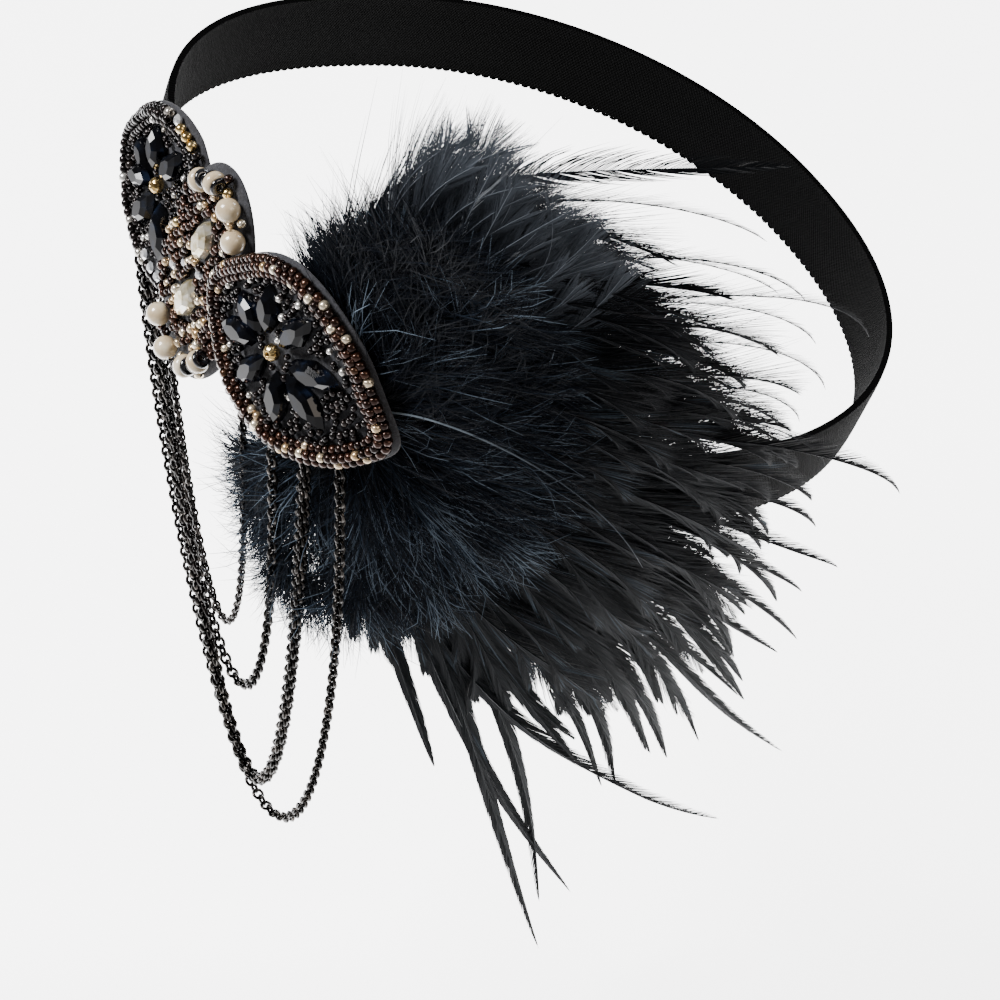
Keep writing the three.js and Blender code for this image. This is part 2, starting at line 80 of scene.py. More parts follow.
# The medallion lies over the right wing and under the left one.
MEDALLION = {
    "across": 1.5, "half_width": 14.8, "half_height": 28.5, "rise": 2.8,
    "ring_across": 12.2, "ring_up": 24.6,
}
# The beads on the medallion's ring, by their angle round it.
MEDALLION_PEARLS = {"pearl_1": 68, "pearl_2": 46, "pearl_3": 232, "pearl_4": 260}
MEDALLION_STRIPED = {
    "striped_bead_1": 122, "striped_bead_2": 98, "striped_bead_3": 296, "striped_bead_4": 316,
}
PEARL_RADIUS = 2.6

# The swags: where each chain leaves the two wings, how deep it hangs, and its links.
Chain = namedtuple("Chain", "name diameter left right sag fullness long wide wire pitch twist")
CHAINS = (
    Chain("chain_fine", 1.8, 25.5, 13.4, 72, 0.62, 2.2, 1.8, 0.3, 1.1, 62),
    Chain("chain_short", 2.4, 35, 17.8, 86, 0.62, 3.1, 2.6, 0.4, 1.9, 90),
    Chain("chain_rope", 2.9, 42.6, 23, 115, 0.95, 2.9, 3.0, 0.48, 1.0, 52),
    Chain("chain_long", 2.4, 49, 27.4, 127, 0.62, 2.9, 2.6, 0.4, 1.85, 90),
)

# The fan of feathers: where its centre is on the wall, and the hackles' tips, droop and lift.
FAN = {"across": 46, "up": 2}
FAN_REACH = 150
PAD = {"radius": 19.0, "rise": 1.1}
Hackle = namedtuple("Hackle", "turn reach droop lift curl within", defaults=(1.0, False))
LONG_HACKLES = tuple(
    Hackle(*row)
    for row in (
        (63.5, 117.5, 53, 20), (55, 101, 16, 17), (48, 96, 20, 24), (42, 100, 24, 17), (36, 98, 22, 24),
        (31, 111, 24, 17), (26, 99, 16, 24), (18, 96, 10, 17), (10, 103, 8, 24), (3, 126, 14, 26),
        (-4, 114, 4, 17), (-9, 123, 8, 24), (-15, 125, 6, 17), (-20, 127, 8, 24), (-24, 134, 8, 17),
        (-29, 124, 6, 24), (-34, 158, 10, 22), (-37, 135, 8, 17), (-42, 154, -26, 24), (-48, 125, 6, 17),
        (-57, 150, -6, 20), (-60, 148, 17, 20), (-62, 157, 8, 24), (-65, 97, -4, 17),
    )
)
# How far the close black mass of the fan reaches in each direction.
MASS_TURNS = (
    -123, -111, -98, -90, -81, -73, -66, -61, -53, -49, -45, -42, -34, -22, -7, 10, 34, 68, 84, 93, 103,
)
MASS_REACH = (25, 34, 45, 50, 56, 56, 62, 72, 86, 98, 124, 135, 136, 121, 106, 95, 86, 80, 73, 66, 47)
# How far the down reaches in each direction, and how far its ends stand out.
DOWN_TURNS = (-121, -107, -94, -80, -65, -30, 6, 42, 60, 75, 86, 93, 98, 104, 112, 126)
DOWN_REACH = (41, 50, 60, 62, 54, 47, 46, 50, 58, 65, 69, 65, 58, 49, 40, 34)
DOWN_LIFT = (-4, -3, 1, 4, 4, 4, 4, 5, 9, 13, 14, 13, 11, 8, 5, 2)
# The tufts of down, the strands in each, and the directions between which they lie.
TUFTS = 1500
STRANDS = 20
DOWN_SPAN = (-122, 127)
# How far the feathers droop on their way out to each direction, in degrees, and how they curl over.
DROOP_TURNS = (-100, -60, -30, 0, 40, 70)
DROOPS = (0, 6, 20, 32, 54, 58)
CURLS = (1.0, 1.0, 1.05, 1.2, 1.5, 1.7)
# What the long hackles add to their own droop, and how they curl.
LONG_TURNS = (-60, -30, 0, 40)
LONG_DROOPS = (0, 10, 18, 32)
LONG_CURLS = (1.0, 1.0, 1.2, 1.6)


def turned(pitch, roll):
    p, r = math.radians(pitch), math.radians(roll)
    about_x = np.array([[1, 0, 0], [0, math.cos(p), -math.sin(p)], [0, math.sin(p), math.cos(p)]])
    about_y = np.array([[math.cos(r), 0, math.sin(r)], [0, 1, 0], [-math.sin(r), 0, math.cos(r)]])
    return about_x @ about_y


def loop_plan():
    """The loop's plan from the back, past the front at 0, to the back again: run, x and y."""
    angle = np.linspace(-math.pi, math.pi, 8001)
    sine, cosine = np.sin(angle), np.cos(angle)
    power = 2 / np.where(cosine > 0, LOOP["front_power"], LOOP["back_power"])
    x = LOOP["side"] * np.sign(sine) * np.abs(sine) ** power
    y = np.where(cosine > 0, -LOOP["front"], LOOP["back"]) * np.abs(cosine) ** power
    run = np.concatenate([[0], np.cumsum(np.hypot(np.diff(x), np.diff(y)))])
    return run - np.interp(0, angle, run), x, y


WORN_TURN = turned(WORN["pitch"], WORN["roll"])
WALL_UP = np.array([0, -math.sin(math.radians(WORN["lean"])), math.cos(math.radians(WORN["lean"]))])
UPRIGHT = WALL_UP @ WORN_TURN.T
RUN, PLAN_X, PLAN_Y = loop_plan()
LOOP_LENGTH = RUN[-1] - RUN[0]


def on_loop(across):
    """The foot on the loop and the way out of it, before the loop is tilted."""
    def at(place, values):
        return np.interp((place - RUN[0]) % LOOP_LENGTH + RUN[0], RUN, values)

    across = np.asarray(across, float)
    step = 0.5
    along_x = at(across + step, PLAN_X) - at(across - step, PLAN_X)
    along_y = at(across + step, PLAN_Y) - at(across - step, PLAN_Y)
    length = np.hypot(along_x, along_y)
    foot = np.stack([at(across, PLAN_X), at(across, PLAN_Y), np.zeros_like(across)], -1)
    out = np.stack([along_y / length, -along_x / length, np.zeros_like(across)], -1)
    return foot, out


def wall(across, up, rise):
    """Points by their distance round the loop from the front, height on the wall and distance out."""
    foot, out = on_loop(across)
    rise = np.broadcast_to(np.asarray(rise, float), foot.shape[:-1])
    up = np.broadcast_to(np.asarray(up, float), foot.shape[:-1])
    return (foot + rise[..., None] * out + up[..., None] * WALL_UP) @ WORN_TURN.T


def wall_out(across):
    return on_loop(across)[1] @ WORN_TURN.T


def unit(vectors):
    return vectors / np.maximum(np.linalg.norm(vectors, axis=-1, keepdims=True), 1e-9)


def run_along(line):
    """The distance along a line to each of its points."""
    return np.concatenate([[0], np.cumsum(np.linalg.norm(np.diff(line, axis=0), axis=1))])


def read_at(where, run, line):
    """A line's values, read at places along its run."""
    return np.stack([np.interp(where, run, column) for column in line.T], -1)


def smooth_loop(points, steps):
    """A closed smooth curve through a few points, evenly spaced."""
    points = np.array(points, float)
    curve = []
    for i in range(len(points)):
        a, b, c, d = (points[(i + k) % len(points)] for k in (-1, 0, 1, 2))
        t = np.linspace(0, 1, 24, endpoint=False)[:, None]
        bend = (2 * a - 5 * b + 4 * c - d) * t**2 + (3 * b - a - 3 * c + d) * t**3
        curve.append(0.5 * (2 * b + (c - a) * t + bend))
    curve = np.concatenate(curve)
    closed = np.concatenate([curve, curve[:1]])
    run = run_along(closed)
    return read_at(np.linspace(0, run[-1], steps, endpoint=False), run, closed)


WING_EDGE = smooth_loop(WING_OUTLINE, 240)


def on_wing(wing, points):
    """Points of a wing's flat measure as across and up on the wall."""
    turn = math.radians(wing.turn)
    x, y = wing.size * points[..., 0], wing.size * points[..., 1]
    across = wing.across + x * math.cos(turn) - y * math.sin(turn)
    return wing.side * across, wing.up + x * math.sin(turn) + y * math.cos(turn)


def wing_rise(wing, across):
    return wing.inner_rise + wing.slope * np.maximum(0, wing.side * np.asarray(across) - wing.slope_from)


def beside_medallion(across, up, margin):
    """Which places on the wall are clear of the medallion's oval by a margin."""
    wide, high = MEDALLION["half_width"] + margin, MEDALLION["half_height"] + margin
    return np.hypot((across - MEDALLION["across"]) / wide, up / high) > 1


def inside(outline_across, outline_up, across, up):
    """Which places on the wall lie inside a closed outline."""
    hit = np.zeros(np.shape(across), bool)
    count = len(outline_across)
    for i in range(count):
        x0, y0 = outline_across[i], outline_up[i]
        x1, y1 = outline_across[(i + 1) % count], outline_up[(i + 1) % count]
        if y0 == y1:
            continue
        crosses = (y0 > up) != (y1 > up)
        hit ^= crosses & (across < (x1 - x0) * (up - y0) / (y1 - y0) + x0)
    return hit


# Meshes

QUILL_SIDES = 4


def new_piece(name, points, faces, material, replaced=(), smooth=True, attributes=None):
    """One piece of the object from points in millimetres and arrays of faces with three or four corners."""
    mesh = bpy.data.meshes.new(name)
    corners = np.concatenate([group.ravel() for group in faces])
    totals = np.concatenate([np.full(len(group), group.shape[1]) for group in faces])
    starts = np.concatenate([[0], np.cumsum(totals)[:-1]])
    mesh.vertices.add(len(points))
    mesh.vertices.foreach_set("co", (np.asarray(points) * MM).astype(np.float32).ravel())
    mesh.loops.add(len(corners))
    mesh.loops.foreach_set("vertex_index", corners.astype(np.int32))
    mesh.polygons.add(len(totals))
    mesh.polygons.foreach_set("loop_start", starts.astype(np.int32))
    mesh.polygons.foreach_set("loop_total", totals.astype(np.int32))
    mesh.update(calc_edges=True)
    for label, values in (attributes or {}).items():
        layer = mesh.attributes.new(label, "FLOAT", "POINT")
        layer.data.foreach_set("value", np.asarray(values, np.float32))
    mesh.polygons.foreach_set("use_smooth", np.full(len(totals), smooth))
    mesh.materials.append(material)
    mesh.validate()
    piece = bpy.data.objects.new(name, mesh)
    bpy.context.scene.collection.objects.link(piece)
    dressed(piece, replaced)


def dressed(piece, replaced=()):
    """Puts a piece on its body and the nodes that it stands for."""
    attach(piece, "root")
    if replaced:
        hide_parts(*replaced)


def gather(parts):
    """Joins (points, faces) parts into one set of points and one list of face arrays."""
    points, faces, count = [], [], 0
    for part_points, part_faces in parts:
        points.append(part_points)
        faces.extend(group + count for group in part_faces)
        count += len(part_points)
    return np.concatenate(points), faces


def triangles(mesh):
    """A mesh's points and the corners of its triangles."""
    mesh.calc_loop_triangles()
    points = np.array([v.co for v in mesh.vertices])
    return points, np.array([t.vertices for t in mesh.loop_triangles])


def template(obj):
    """Takes a modelled object's points and triangles, in millimetres, and removes it."""
    mesh = obj.data
    points, faces = triangles(mesh)
    bpy.data.objects.remove(obj)
    bpy.data.meshes.remove(mesh)
    return points, [faces]


def only(obj):
    """Makes one object the only selected and active one."""
    bpy.ops.object.select_all(action="DESELECT")
    obj.select_set(True)
    bpy.context.view_layer.objects.active = obj


@contextmanager
def editing():
    """Edit mode on the active object, with all of its mesh selected."""
    bpy.ops.object.mode_set(mode="EDIT")
    bpy.ops.mesh.select_all(action="SELECT")
    yield
    bpy.ops.object.mode_set(mode="OBJECT")


def spun(profile, steps):
    """A round body: a profile of (radius, height) points, spun about Z and closed."""
    mesh = bpy.data.meshes.new("profile")
    points = [(radius, 0, height) for radius, height in profile]
    edges = [(i, i + 1) for i in range(len(points) - 1)]
    if profile[0][0] > 0:
        edges.append((len(points) - 1, 0))
    mesh.from_pydata(points, edges, [])
    obj = bpy.data.objects.new("profile", mesh)
    bpy.context.scene.collection.objects.link(obj)
    only(obj)
    with editing():
        bpy.ops.mesh.spin(steps=steps, angle=2 * math.pi, center=(0, 0, 0), axis=(0, 0, 1))
        bpy.ops.mesh.select_all(action="SELECT")
        bpy.ops.mesh.remove_doubles(threshold=0.001)
        bpy.ops.mesh.normals_make_consistent(inside=False)
    return template(obj)


def link_template(long, wide, wire):
    """One oval chain link, its long way along Z, lying in the XZ plane."""
    bpy.ops.object.select_all(action="DESELECT")
    middle = (wide - 2 * wire) / 2 + wire / 2
    bpy.ops.mesh.primitive_torus_add(
        major_segments=10, minor_segments=5, major_radius=middle, minor_radius=wire
    )
    obj = bpy.context.object
    with editing():
        bpy.ops.transform.resize(value=(1, long / wide, 1))
        bpy.ops.transform.rotate(value=math.pi / 2, orient_axis="X", center_override=(0, 0, 0))
    return template(obj)


def placed(shape, places, first_axes, run_axes, scales=1.0):
    """Copies of a template: its Z along the run, its X along the first axis, at each place."""
    points, faces = shape
    run = unit(run_axes)
    first = unit(first_axes - np.sum(first_axes * run, -1, keepdims=True) * run)
    second = np.cross(run, first)
    basis = np.stack([first, second, run], -1)
    scales = np.broadcast_to(np.asarray(scales, float), (len(places),))
    copies = np.einsum("nij,vj->nvi", basis, points) * scales[:, None, None] + places[:, None, :]
    offsets = np.arange(len(places)) * len(points)
    groups = [(group[None] + offsets[:, None, None]).reshape(-1, group.shape[1]) for group in faces]
    return copies.reshape(-1, 3), groups


def spaced(path, pitch, closed=False):
    """Even steps along a line of points: places and directions."""
    line = np.concatenate([path, path[:1]]) if closed else path
    run = run_along(line)
    count = max(2, int(round(run[-1] / pitch)))
    at = np.linspace(0, run[-1], count, endpoint=not closed)

    def point(where):
        where = where % run[-1] if closed else np.clip(where, 0, run[-1])
        return read_at(where, run, line)

    step = 0.3 * pitch
    return point(at), unit(point(at + step) - point(at - step)), at / run[-1]


def ribbons(points, outs, half_widths, twists):
    """Thin tapering strands from rows of points, each turned a little about its own length."""
    run = unit(np.gradient(points, axis=1))
    flat = unit(np.cross(run, outs))
    face = np.cross(flat, run)
    twists = twists[:, None, None]
    edge = (np.cos(twists) * flat + np.sin(twists) * face) * half_widths[..., None]
    count, stations = points.shape[:2]
    corners = np.stack([points - edge, points + edge], 2).reshape(-1, 3)
    first = (np.arange(count)[:, None] * stations + np.arange(stations - 1)[None]).ravel() * 2
    quads = np.stack([first, first + 1, first + 3, first + 2], -1)
    return corners, [quads]


def ring_faces(rings, sides):
    """Quads between rings of points that follow each other, and a cap on the first and the last."""
    i, j = np.meshgrid(np.arange(rings - 1), np.arange(sides), indexing="ij")
    k = (j + 1) % sides
    corners = (i * sides + j, i * sides + k, (i + 1) * sides + k, (i + 1) * sides + j)
    first = np.arange(sides)[None]
    last = first + (rings - 1) * sides
    return [np.stack(corners, -1).reshape(-1, 4), first[:, ::-1], last]


def tube(points, outs, radii, sides=QUILL_SIDES):
    """A tapering round stem along a line of points, closed at both ends."""
    run = unit(np.gradient(points, axis=0))
    flat = unit(np.cross(run, outs))
    face = np.cross(flat, run)
    angles = 2 * math.pi * np.arange(sides) / sides
    ring = np.cos(angles)[None, :, None] * flat[:, None] + np.sin(angles)[None, :, None] * face[:, None]
    corners = (points[:, None] + radii[:, None, None] * ring).reshape(-1, 3)
    return corners, ring_faces(len(points), sides)


# Materials

def srgb(code):
    """A hex colour as linear red, green, blue and alpha."""
    values = [int(code[i:i + 2], 16) / 255 for i in (1, 3, 5)]
    linear = [v / 12.92 if v <= 0.04045 else ((v + 0.055) / 1.055) ** 2.4 for v in values]
    return (*linear, 1.0)


def node(tree, kind, values=None, links=None, **settings):
    """Adds one shader node with its settings, input values and links."""
    made = tree.nodes.new(f"ShaderNode{kind}")
    for key, value in settings.items():
        setattr(made, key, value)
    for key, value in (values or {}).items():
        made.inputs[key].default_value = value
    for key, socket in (links or {}).items():
        tree.links.new(socket, made.inputs[key])
    return made


def start_material(name, **values):
    """A material with one principled shader, whose even values are set on its own sockets."""
    material = bpy.data.materials.new(name)
    material.use_nodes = True
    tree = material.node_tree
    shader = tree.nodes["Principled BSDF"]
    for key, value in values.items():
        shader.inputs[key.replace("_", " ")].default_value = value
    return material, tree, shader


def coloured(tree, shader, factor, stops):
    """Gives a shader its base colour, through (place, hex) stops along a factor."""
    made = node(tree, "ValToRGB", links={"Fac": factor})
    elements = made.color_ramp.elements
    while len(elements) < len(stops):
        elements.new(0.5)
    for element, (place, code) in zip(elements, stops):
        element.position = place
        element.color = srgb(code)
    tree.links.new(made.outputs["Color"], shader.inputs["Base Color"])


def carried_material(name, attribute, stops, **values):
    """A material whose colour follows a value that each point of the mesh carries."""
    material, tree, shader = start_material(name, **values)
    carried = node(tree, "Attribute", attribute_name=attribute)
    coloured(tree, shader, carried.outputs["Fac"], stops)
    return material


def clouded_material(name, grain, detail, stops, distortion=0.0, **values):
    """A material whose colour changes in soft patches, each about a grain in millimetres across."""
    material, tree, shader = start_material(name, **values)
    place = node(tree, "TexCoord").outputs["Object"]
    look = {"Scale": 1 / (grain * MM), "Detail": detail, "Distortion": distortion}
    patches = node(tree, "TexNoise", look, {"Vector": place}).outputs["Fac"]
    coloured(tree, shader, patches, stops)
    return material, tree, shader, patches


def feather_material(name, roughness, gloss, stops):
    """Dyed feather: black keratin barbs with a cool gloss, thinner and browner towards their tips; its pale
    blue-greys are a painted sheen.
    """
    sheen = {"Specular_IOR_Level": gloss, "Specular_Tint": srgb("#b9cfe8")}
    return carried_material(name, "tip", stops, Roughness=roughness, **sheen)


def seed_bead_material(name, stops):
    """Metal lined glass beads, dark or bright, each with its own tone and all with a sharp highlight."""
    coat = {"Coat_Weight": 0.25, "Coat_Roughness": 0.05}
    return carried_material(name, "tone", stops, Metallic=0.8, Roughness=0.24, **coat)


def cut_glass_material(name, grain, metallic, stops, coat=1.0, gloss=0.5):
    """Foil backed cut glass: mirror bright facets over a dark or pale foil that varies a little."""
    foil = {"Metallic": metallic, "Roughness": 0.06, "IOR": 1.5, "Specular_IOR_Level": gloss}
    coats = {"Coat_Weight": coat, "Coat_Roughness": 0.03}
    return clouded_material(name, grain, 2.0, stops, **foil, **coats)[0]


def pearl_material():
    """Imitation pearl: cream nacre lacquer over glass, softly glossy with a faint warm cloud."""
    stops = ((0.3, "#a69070"), (0.52, "#c2af8f"), (0.75, "#dccfb5"))
    coat = {"Coat_Weight": 0.7, "Coat_Roughness": 0.08}
    return clouded_material("cream_pearl_lacquer", PEARL_CLOUD, 3.0, stops, Roughness=0.24, **coat)[0]


def metal_material(name, grain, polish, stops):
    """Plated metal: a bright coat with small changes of tone and polish."""
    material, tree, shader, patches = clouded_material(name, grain, 3.0, stops, Metallic=1.0)
    smoothest, dullest = polish
    rough = node(tree, "MapRange", {"To Min": smoothest, "To Max": dullest}, {"Value": patches})
    tree.links.new(rough.outputs["Result"], shader.inputs["Roughness"])
    return material


def felt_material():
    """Pressed wool felt: matt, fuzzy and slightly mottled."""
    stops = ((0.3, "#18181a"), (0.55, "#28282c"), (0.8, "#43444a"))
    fuzz = {"Roughness": 0.95, "Sheen_Weight": 0.15, "Sheen_Roughness": 0.5}
    material, tree, shader, fibre = clouded_material("grey_wool_felt", FELT_FIBRE, 4.0, stops, 1.5, **fuzz)
    bump = node(tree, "Bump", {"Strength": 0.5, "Distance": RELIEF * MM}, {"Height": fibre})
    tree.links.new(bump.outputs["Normal"], shader.inputs["Normal"])
    return material


def elastic_material():
    """Woven elastic: ribs along the band and fine weft across it, in matt black yarn."""
    yarn = {"Roughness": 0.85, "Specular_IOR_Level": 0.03}
    material, tree, shader = start_material("black_woven_elastic", **yarn)
    uv = node(tree, "UVMap", uv_map="UVMap").outputs["UV"]
    flat = node(tree, "SeparateXYZ", links={"Vector": uv})
    # The band is laid out at its real width and length.
    waves = []
    for axis, size, spacing in (("Y", BAND["width"], RIB), ("X", LOOP_LENGTH, WEFT)):
        turns = 2 * math.pi * size / spacing
        phase = node(tree, "Math", {1: turns}, {0: flat.outputs[axis]}, operation="MULTIPLY")
        wave = node(tree, "Math", links={0: phase.outputs[0]}, operation="SINE")
        waves.append(wave.outputs[0])
    weave = node(tree, "Math", links=dict(enumerate(waves)), operation="MULTIPLY").outputs[0]
    height = node(tree, "MapRange", {"From Min": -1.0}, {"Value": weave}).outputs["Result"]
    # The weave's hollows are painted darker than its raised threads: painted shade.
    coloured(tree, shader, height, ((0.1, "#010101"), (0.6, "#030303"), (0.95, "#070708")))
    bump = node(tree, "Bump", {"Strength": 0.7, "Distance": RELIEF * MM}, {"Height": height})
    tree.links.new(bump.outputs["Normal"], shader.inputs["Normal"])
    return material


# Sizes of the patterns: the pearl's cloud, felt fibre, the elastic's ribs and weft, and their relief.
PEARL_CLOUD = 3.846
# Felt fibre is drawn coarser than it is, so that it shows.
FELT_FIBRE = 0.7143
RIB = 1.3
WEFT = 0.9
RELIEF = 0.4

# The paler blue-grey ends of the hackle and down colours are a painted sheen.
hackle_barbs = feather_material("dyed_hackle", 0.5, 0.05, (
    (0.0, "#040506"), (0.4, "#070709"), (0.58, "#191310"), (0.68, "#1a2027"), (1.0, "#4d5a64"),
))
down_barbs = feather_material("dyed_down", 0.55, 0.08, (
    (0.0, "#06070a"), (0.45, "#0d1016"), (0.7, "#262f3a"), (1.0, "#7a8997"),
))
# The wisps' pale greys are painted light: they stand in for light that shows through thin strands.
pale_down = feather_material("pale_painted_down_tips", 0.6, 0.1, (
    (0.0, "#0c0e11"), (0.2, "#4d5259"), (1.0, "#a9aeb3"),
))
pale_quill = feather_material("pale_horn_quill", 0.3, 0.4, ((0.0, "#77828b"), (1.0, "#1c2228")))
bronze_beads = seed_bead_material("bronze_lined_glass", (
    (0.0, "#1a0e09"), (0.4, "#3e2519"), (0.7, "#b8976a"), (1.0, "#fbf0d8"),
))
gunmetal_beads = seed_bead_material("gunmetal_lined_glass", (
    (0.0, "#0d0a0a"), (0.4, "#241d1c"), (0.7, "#8f877c"), (1.0, "#f8f5ef"),
))
jet_glass = cut_glass_material("jet_cut_glass", 3.0, 0.0, (
    (0.35, "#020203"), (0.55, "#05060a"), (0.7, "#0e1522"),
), coat=0.1, gloss=0.25)
clear_glass = cut_glass_material("pale_cut_glass", 2.0, 0.6, (
    (0.35, "#b9a878"), (0.5, "#e9dfc2"), (0.7, "#fbf8ee"),
))
bright_glass = cut_glass_material("bright_cut_glass", 1.5, 0.7, ((0.35, "#c9ccd2"), (0.6, "#ffffff")))
cream_pearl = pearl_material()
gilt = metal_material("polished_gilt", 2.0, (0.15, 0.3), (
    (0.35, "#a3834a"), (0.55, "#d6ba82"), (0.75, "#f4e6c2"),
))
gunmetal = metal_material("gunmetal_plate", 3.0, (0.14, 0.28), (
    (0.3, "#141313"), (0.55, "#2b2927"), (0.75, "#595450"),
))
black_glass = cut_glass_material("black_glass_disc", 2.0, 0.1, ((0.4, "#0a0a0c"), (0.7, "#1d1d21")))
grey_felt = felt_material()
black_elastic = elastic_material()


# Feathers

def fan_place(turn, distance):
    """A place on the wall by its direction and distance from the fan's centre."""
    turn = np.radians(turn)
    return FAN["across"] + distance * np.cos(turn), FAN["up"] + distance * np.sin(turn)


# One kind of feather: its vane, its barbs, how its locks part and its edges bend, and its quill's sway.
Style = namedtuple("Style", "vane fall spacing root_angle tip_angle barb parting cup sway")
SLEEK = Style(5.2, 1.3, 0.55, 25, 7, 0.16, 0.05, -0.05, 1.5)
SOFT = Style(6.0, 2.6, 0.6, 30, 13, 0.11, 0.22, 0.0, 2.5)
SLENDER = Style(3.2, 1.4, 0.5, 20, 6, 0.15, 0.03, -0.03, 1.2)
UNDER = Style(7.0, 2.0, 0.7, 38, 14, 0.2, 0.05, 0.0, 1.5)
ARC = Style(2.8, 1.4, 0.7, 26, 9, 0.075, 0.22, 0.0, 2.5)
OPEN = Style(6.0, 2.6, 0.5, 52, 26, 0.13, 0.16, 0.1, 0.8)
DOWNY = Style(9.0, 2.6, 0.55, 52, 30, 0.1, 0.22, 0.04, 3.0)
WISP = Style(8.0, 2.6, 0.42, 34, 14, 0.065, 0.22, 0.05, 2.5)
QUILL_ROOT = 7.0
LOCK = 5.0
# How much of the mass a quill keeps within on its way, and how far from its edge.
MASS_SHARE = 0.96
MASS_MARGIN = 4
# The points of a barb along its length, and how its width tapers there.
BARB_SHARE = np.array([[0, 0.3, 0.65, 1.0]])
BARB_TAPER = np.array([[1, 1, 0.8, 0.12]])
# How far a lock's barbs fan apart, and how far a barb may lean from its angle.
LOCK_FAN = 2.5
LEAN_LIMITS = (-0.6, 0.8)
# The tip shade painted on locks that have a painted sheen, and how much more their middles have.
PAINTED_SHEEN_SHADE = 0.58
PAINTED_SHEEN_MORE = 0.3
# Shares of locks with a painted sheen, by the feather's direction.
FEW_PAINTED_SHEEN = ((0,), (0.02,))
OVER_PAINTED_SHEEN = ((-60, 0, 40), (0.1, 0.04, 0.08))
TOP_PAINTED_SHEEN = ((0,), (0.28,))


def quill_line(draw, row, base_rise, sway=1.5):
    """A feather's quill on the wall: distance along it, across, up and rise."""
    share = np.linspace(0, 1, 28)
    bow = draw.normal(0, sway) * np.sin(math.pi * share)
    bow = bow + draw.normal(0, 0.6 * sway) * np.sin(2 * math.pi * share)
    turn = row.turn + row.droop * (1 - share) + bow
    outer = np.full(len(share), row.reach)
    if row.within:
        # The quill keeps inside the fan's mass on its way and leaves it only towards its tip.
        outer = np.minimum(outer, MASS_SHARE * np.interp(turn, MASS_TURNS, MASS_REACH) - MASS_MARGIN)
        outer = outer + (row.reach - outer) * share**2
    distance = QUILL_ROOT + (outer - QUILL_ROOT) * (1 - (1 - share) ** row.curl)
    across, up = fan_place(turn, distance)
    run = np.concatenate([[0], np.cumsum(np.hypot(np.diff(across), np.diff(up)))])
    return run, across, up, base_rise + row.lift * (distance / FAN_REACH) ** 2


def feather(draw, row, style, base_rise, painted_sheen=0.02, bare=0.05):
    """One feather, a tapering quill and two vanes of separate barbs: its parts and their tip shades, painted
    sheen included.
    """
    run, across, up, rise = quill_line(draw, row, base_rise, style.sway)
    length = run[-1]
    stations = run / length
    stem = min(0.26, 2.2 * style.barb)
    parts = [tube(wall(across, up, rise), wall_out(across), stem * (1 - stations) ** 0.8 + 0.04)]
    shades = [np.repeat(0.3 * stations, QUILL_SIDES)]
    heading = np.unwrap(np.arctan2(np.gradient(up), np.gradient(across)))
    count = int((1 - bare) * length / style.spacing)
    share = BARB_SHARE
    for side in (-1, 1):
        t = np.linspace(bare, 0.99, count)
        a0, u0, r0, h0 = (np.interp(t, stations, line)[:, None] for line in (across, up, rise, heading))
        # Barbs gather into locks that part from each other towards the vane's edge, less so near the tip.
        parting = style.parting * (1 - 0.7 * t)
        place = t * length / LOCK + draw.uniform()
        lock = place.astype(int)
        lean = draw.normal(0, 1, lock[-1] + 1)[lock] + LOCK_FAN * (place % 1 - 0.5)
        lean = np.clip(parting * (lean + draw.normal(0, 0.5, count)), *LEAN_LIMITS)
        angle = np.radians(style.root_angle + (style.tip_angle - style.root_angle) * t**0.7) * (1 + lean)
        vane = style.vane * np.minimum(0.45 + 2.2 * t, 1) * (1 - t**style.fall) ** 0.85
        vane = vane * draw.uniform(1 - 2 * style.parting, 1 + style.parting, count)
        barb = np.minimum(vane / np.sin(0.65 * angle), (1 - t) * length + 3)
        step = np.diff(share, prepend=0) * barb[:, None]
        bend = side * angle[:, None] * (1 - 0.6 * share)
        barb_across = a0 + np.cumsum(step * np.cos(h0 + bend), axis=1)
        barb_up = u0 + np.cumsum(step * np.sin(h0 + bend), axis=1)
        cup = (style.cup + draw.normal(0, 0.02, count))[:, None] * barb[:, None]
        barb_rise = np.maximum(r0 + cup * share**2, 1.0)
        keep = clear_of_wing(barb_across, barb_up, barb_rise)
        half = style.barb * BARB_TAPER * (1 - 0.4 * t[:, None])
        outs = wall_out(barb_across)
        points = wall(barb_across, barb_up, barb_rise)
        twist = draw.normal(0, 0.25, count)
        parts.append(ribbons(points[keep], outs[keep], half[keep], twist[keep]))
        # A few locks get a painted sheen: paler blue-grey in their middles, standing in for light caught on
        # them.
        shade = 0.12 * t[:, None] ** 3 + 0.25 * share**2 * t[:, None]
        painted_sheen_barbs = draw.uniform(0, 1, lock[-1] + 1)[lock] < painted_sheen
        painted_sheen_barbs &= draw.uniform(0, 1, count) < 0.7
        sheen = PAINTED_SHEEN_MORE * draw.uniform(0.2, 1, (painted_sheen_barbs.sum(), 1)) * np.sin(0.8 * math.pi * share)
        shade[painted_sheen_barbs] = PAINTED_SHEEN_SHADE + sheen
        shades.append(np.repeat(np.clip(shade[keep], 0, 1).ravel(), 2))
    return parts, shades


def feather_piece(name, feathers, material, slot):
    """Feathers joined into one piece that stands for its plain plume."""
    points, faces = gather([part for parts, _ in feathers for part in parts])
    tips = np.concatenate([shade for _, shades in feathers for shade in shades])
    new_piece(name, points, faces, material, [f"{slot}_plume"], attributes={"tip": tips})


def long_hackles():
    """The long tips of the fan's outline: one open vane, thin arcs at the top and slender tips below."""
    draw = np.random.default_rng(11)
    first, *others = LONG_HACKLES
    feathers = [feather(draw, first, OPEN, 3.4)]
    for row in others:
        droop = row.droop + np.interp(row.turn, LONG_TURNS, LONG_DROOPS)
        curved = row._replace(droop=droop, curl=np.interp(row.turn, LONG_TURNS, LONG_CURLS))
        feathers.append(feather(draw, curved, ARC if row.turn > 5 else SLENDER, 3.4))
    feather_piece("hackles_long", feathers, hackle_barbs, "hackle")


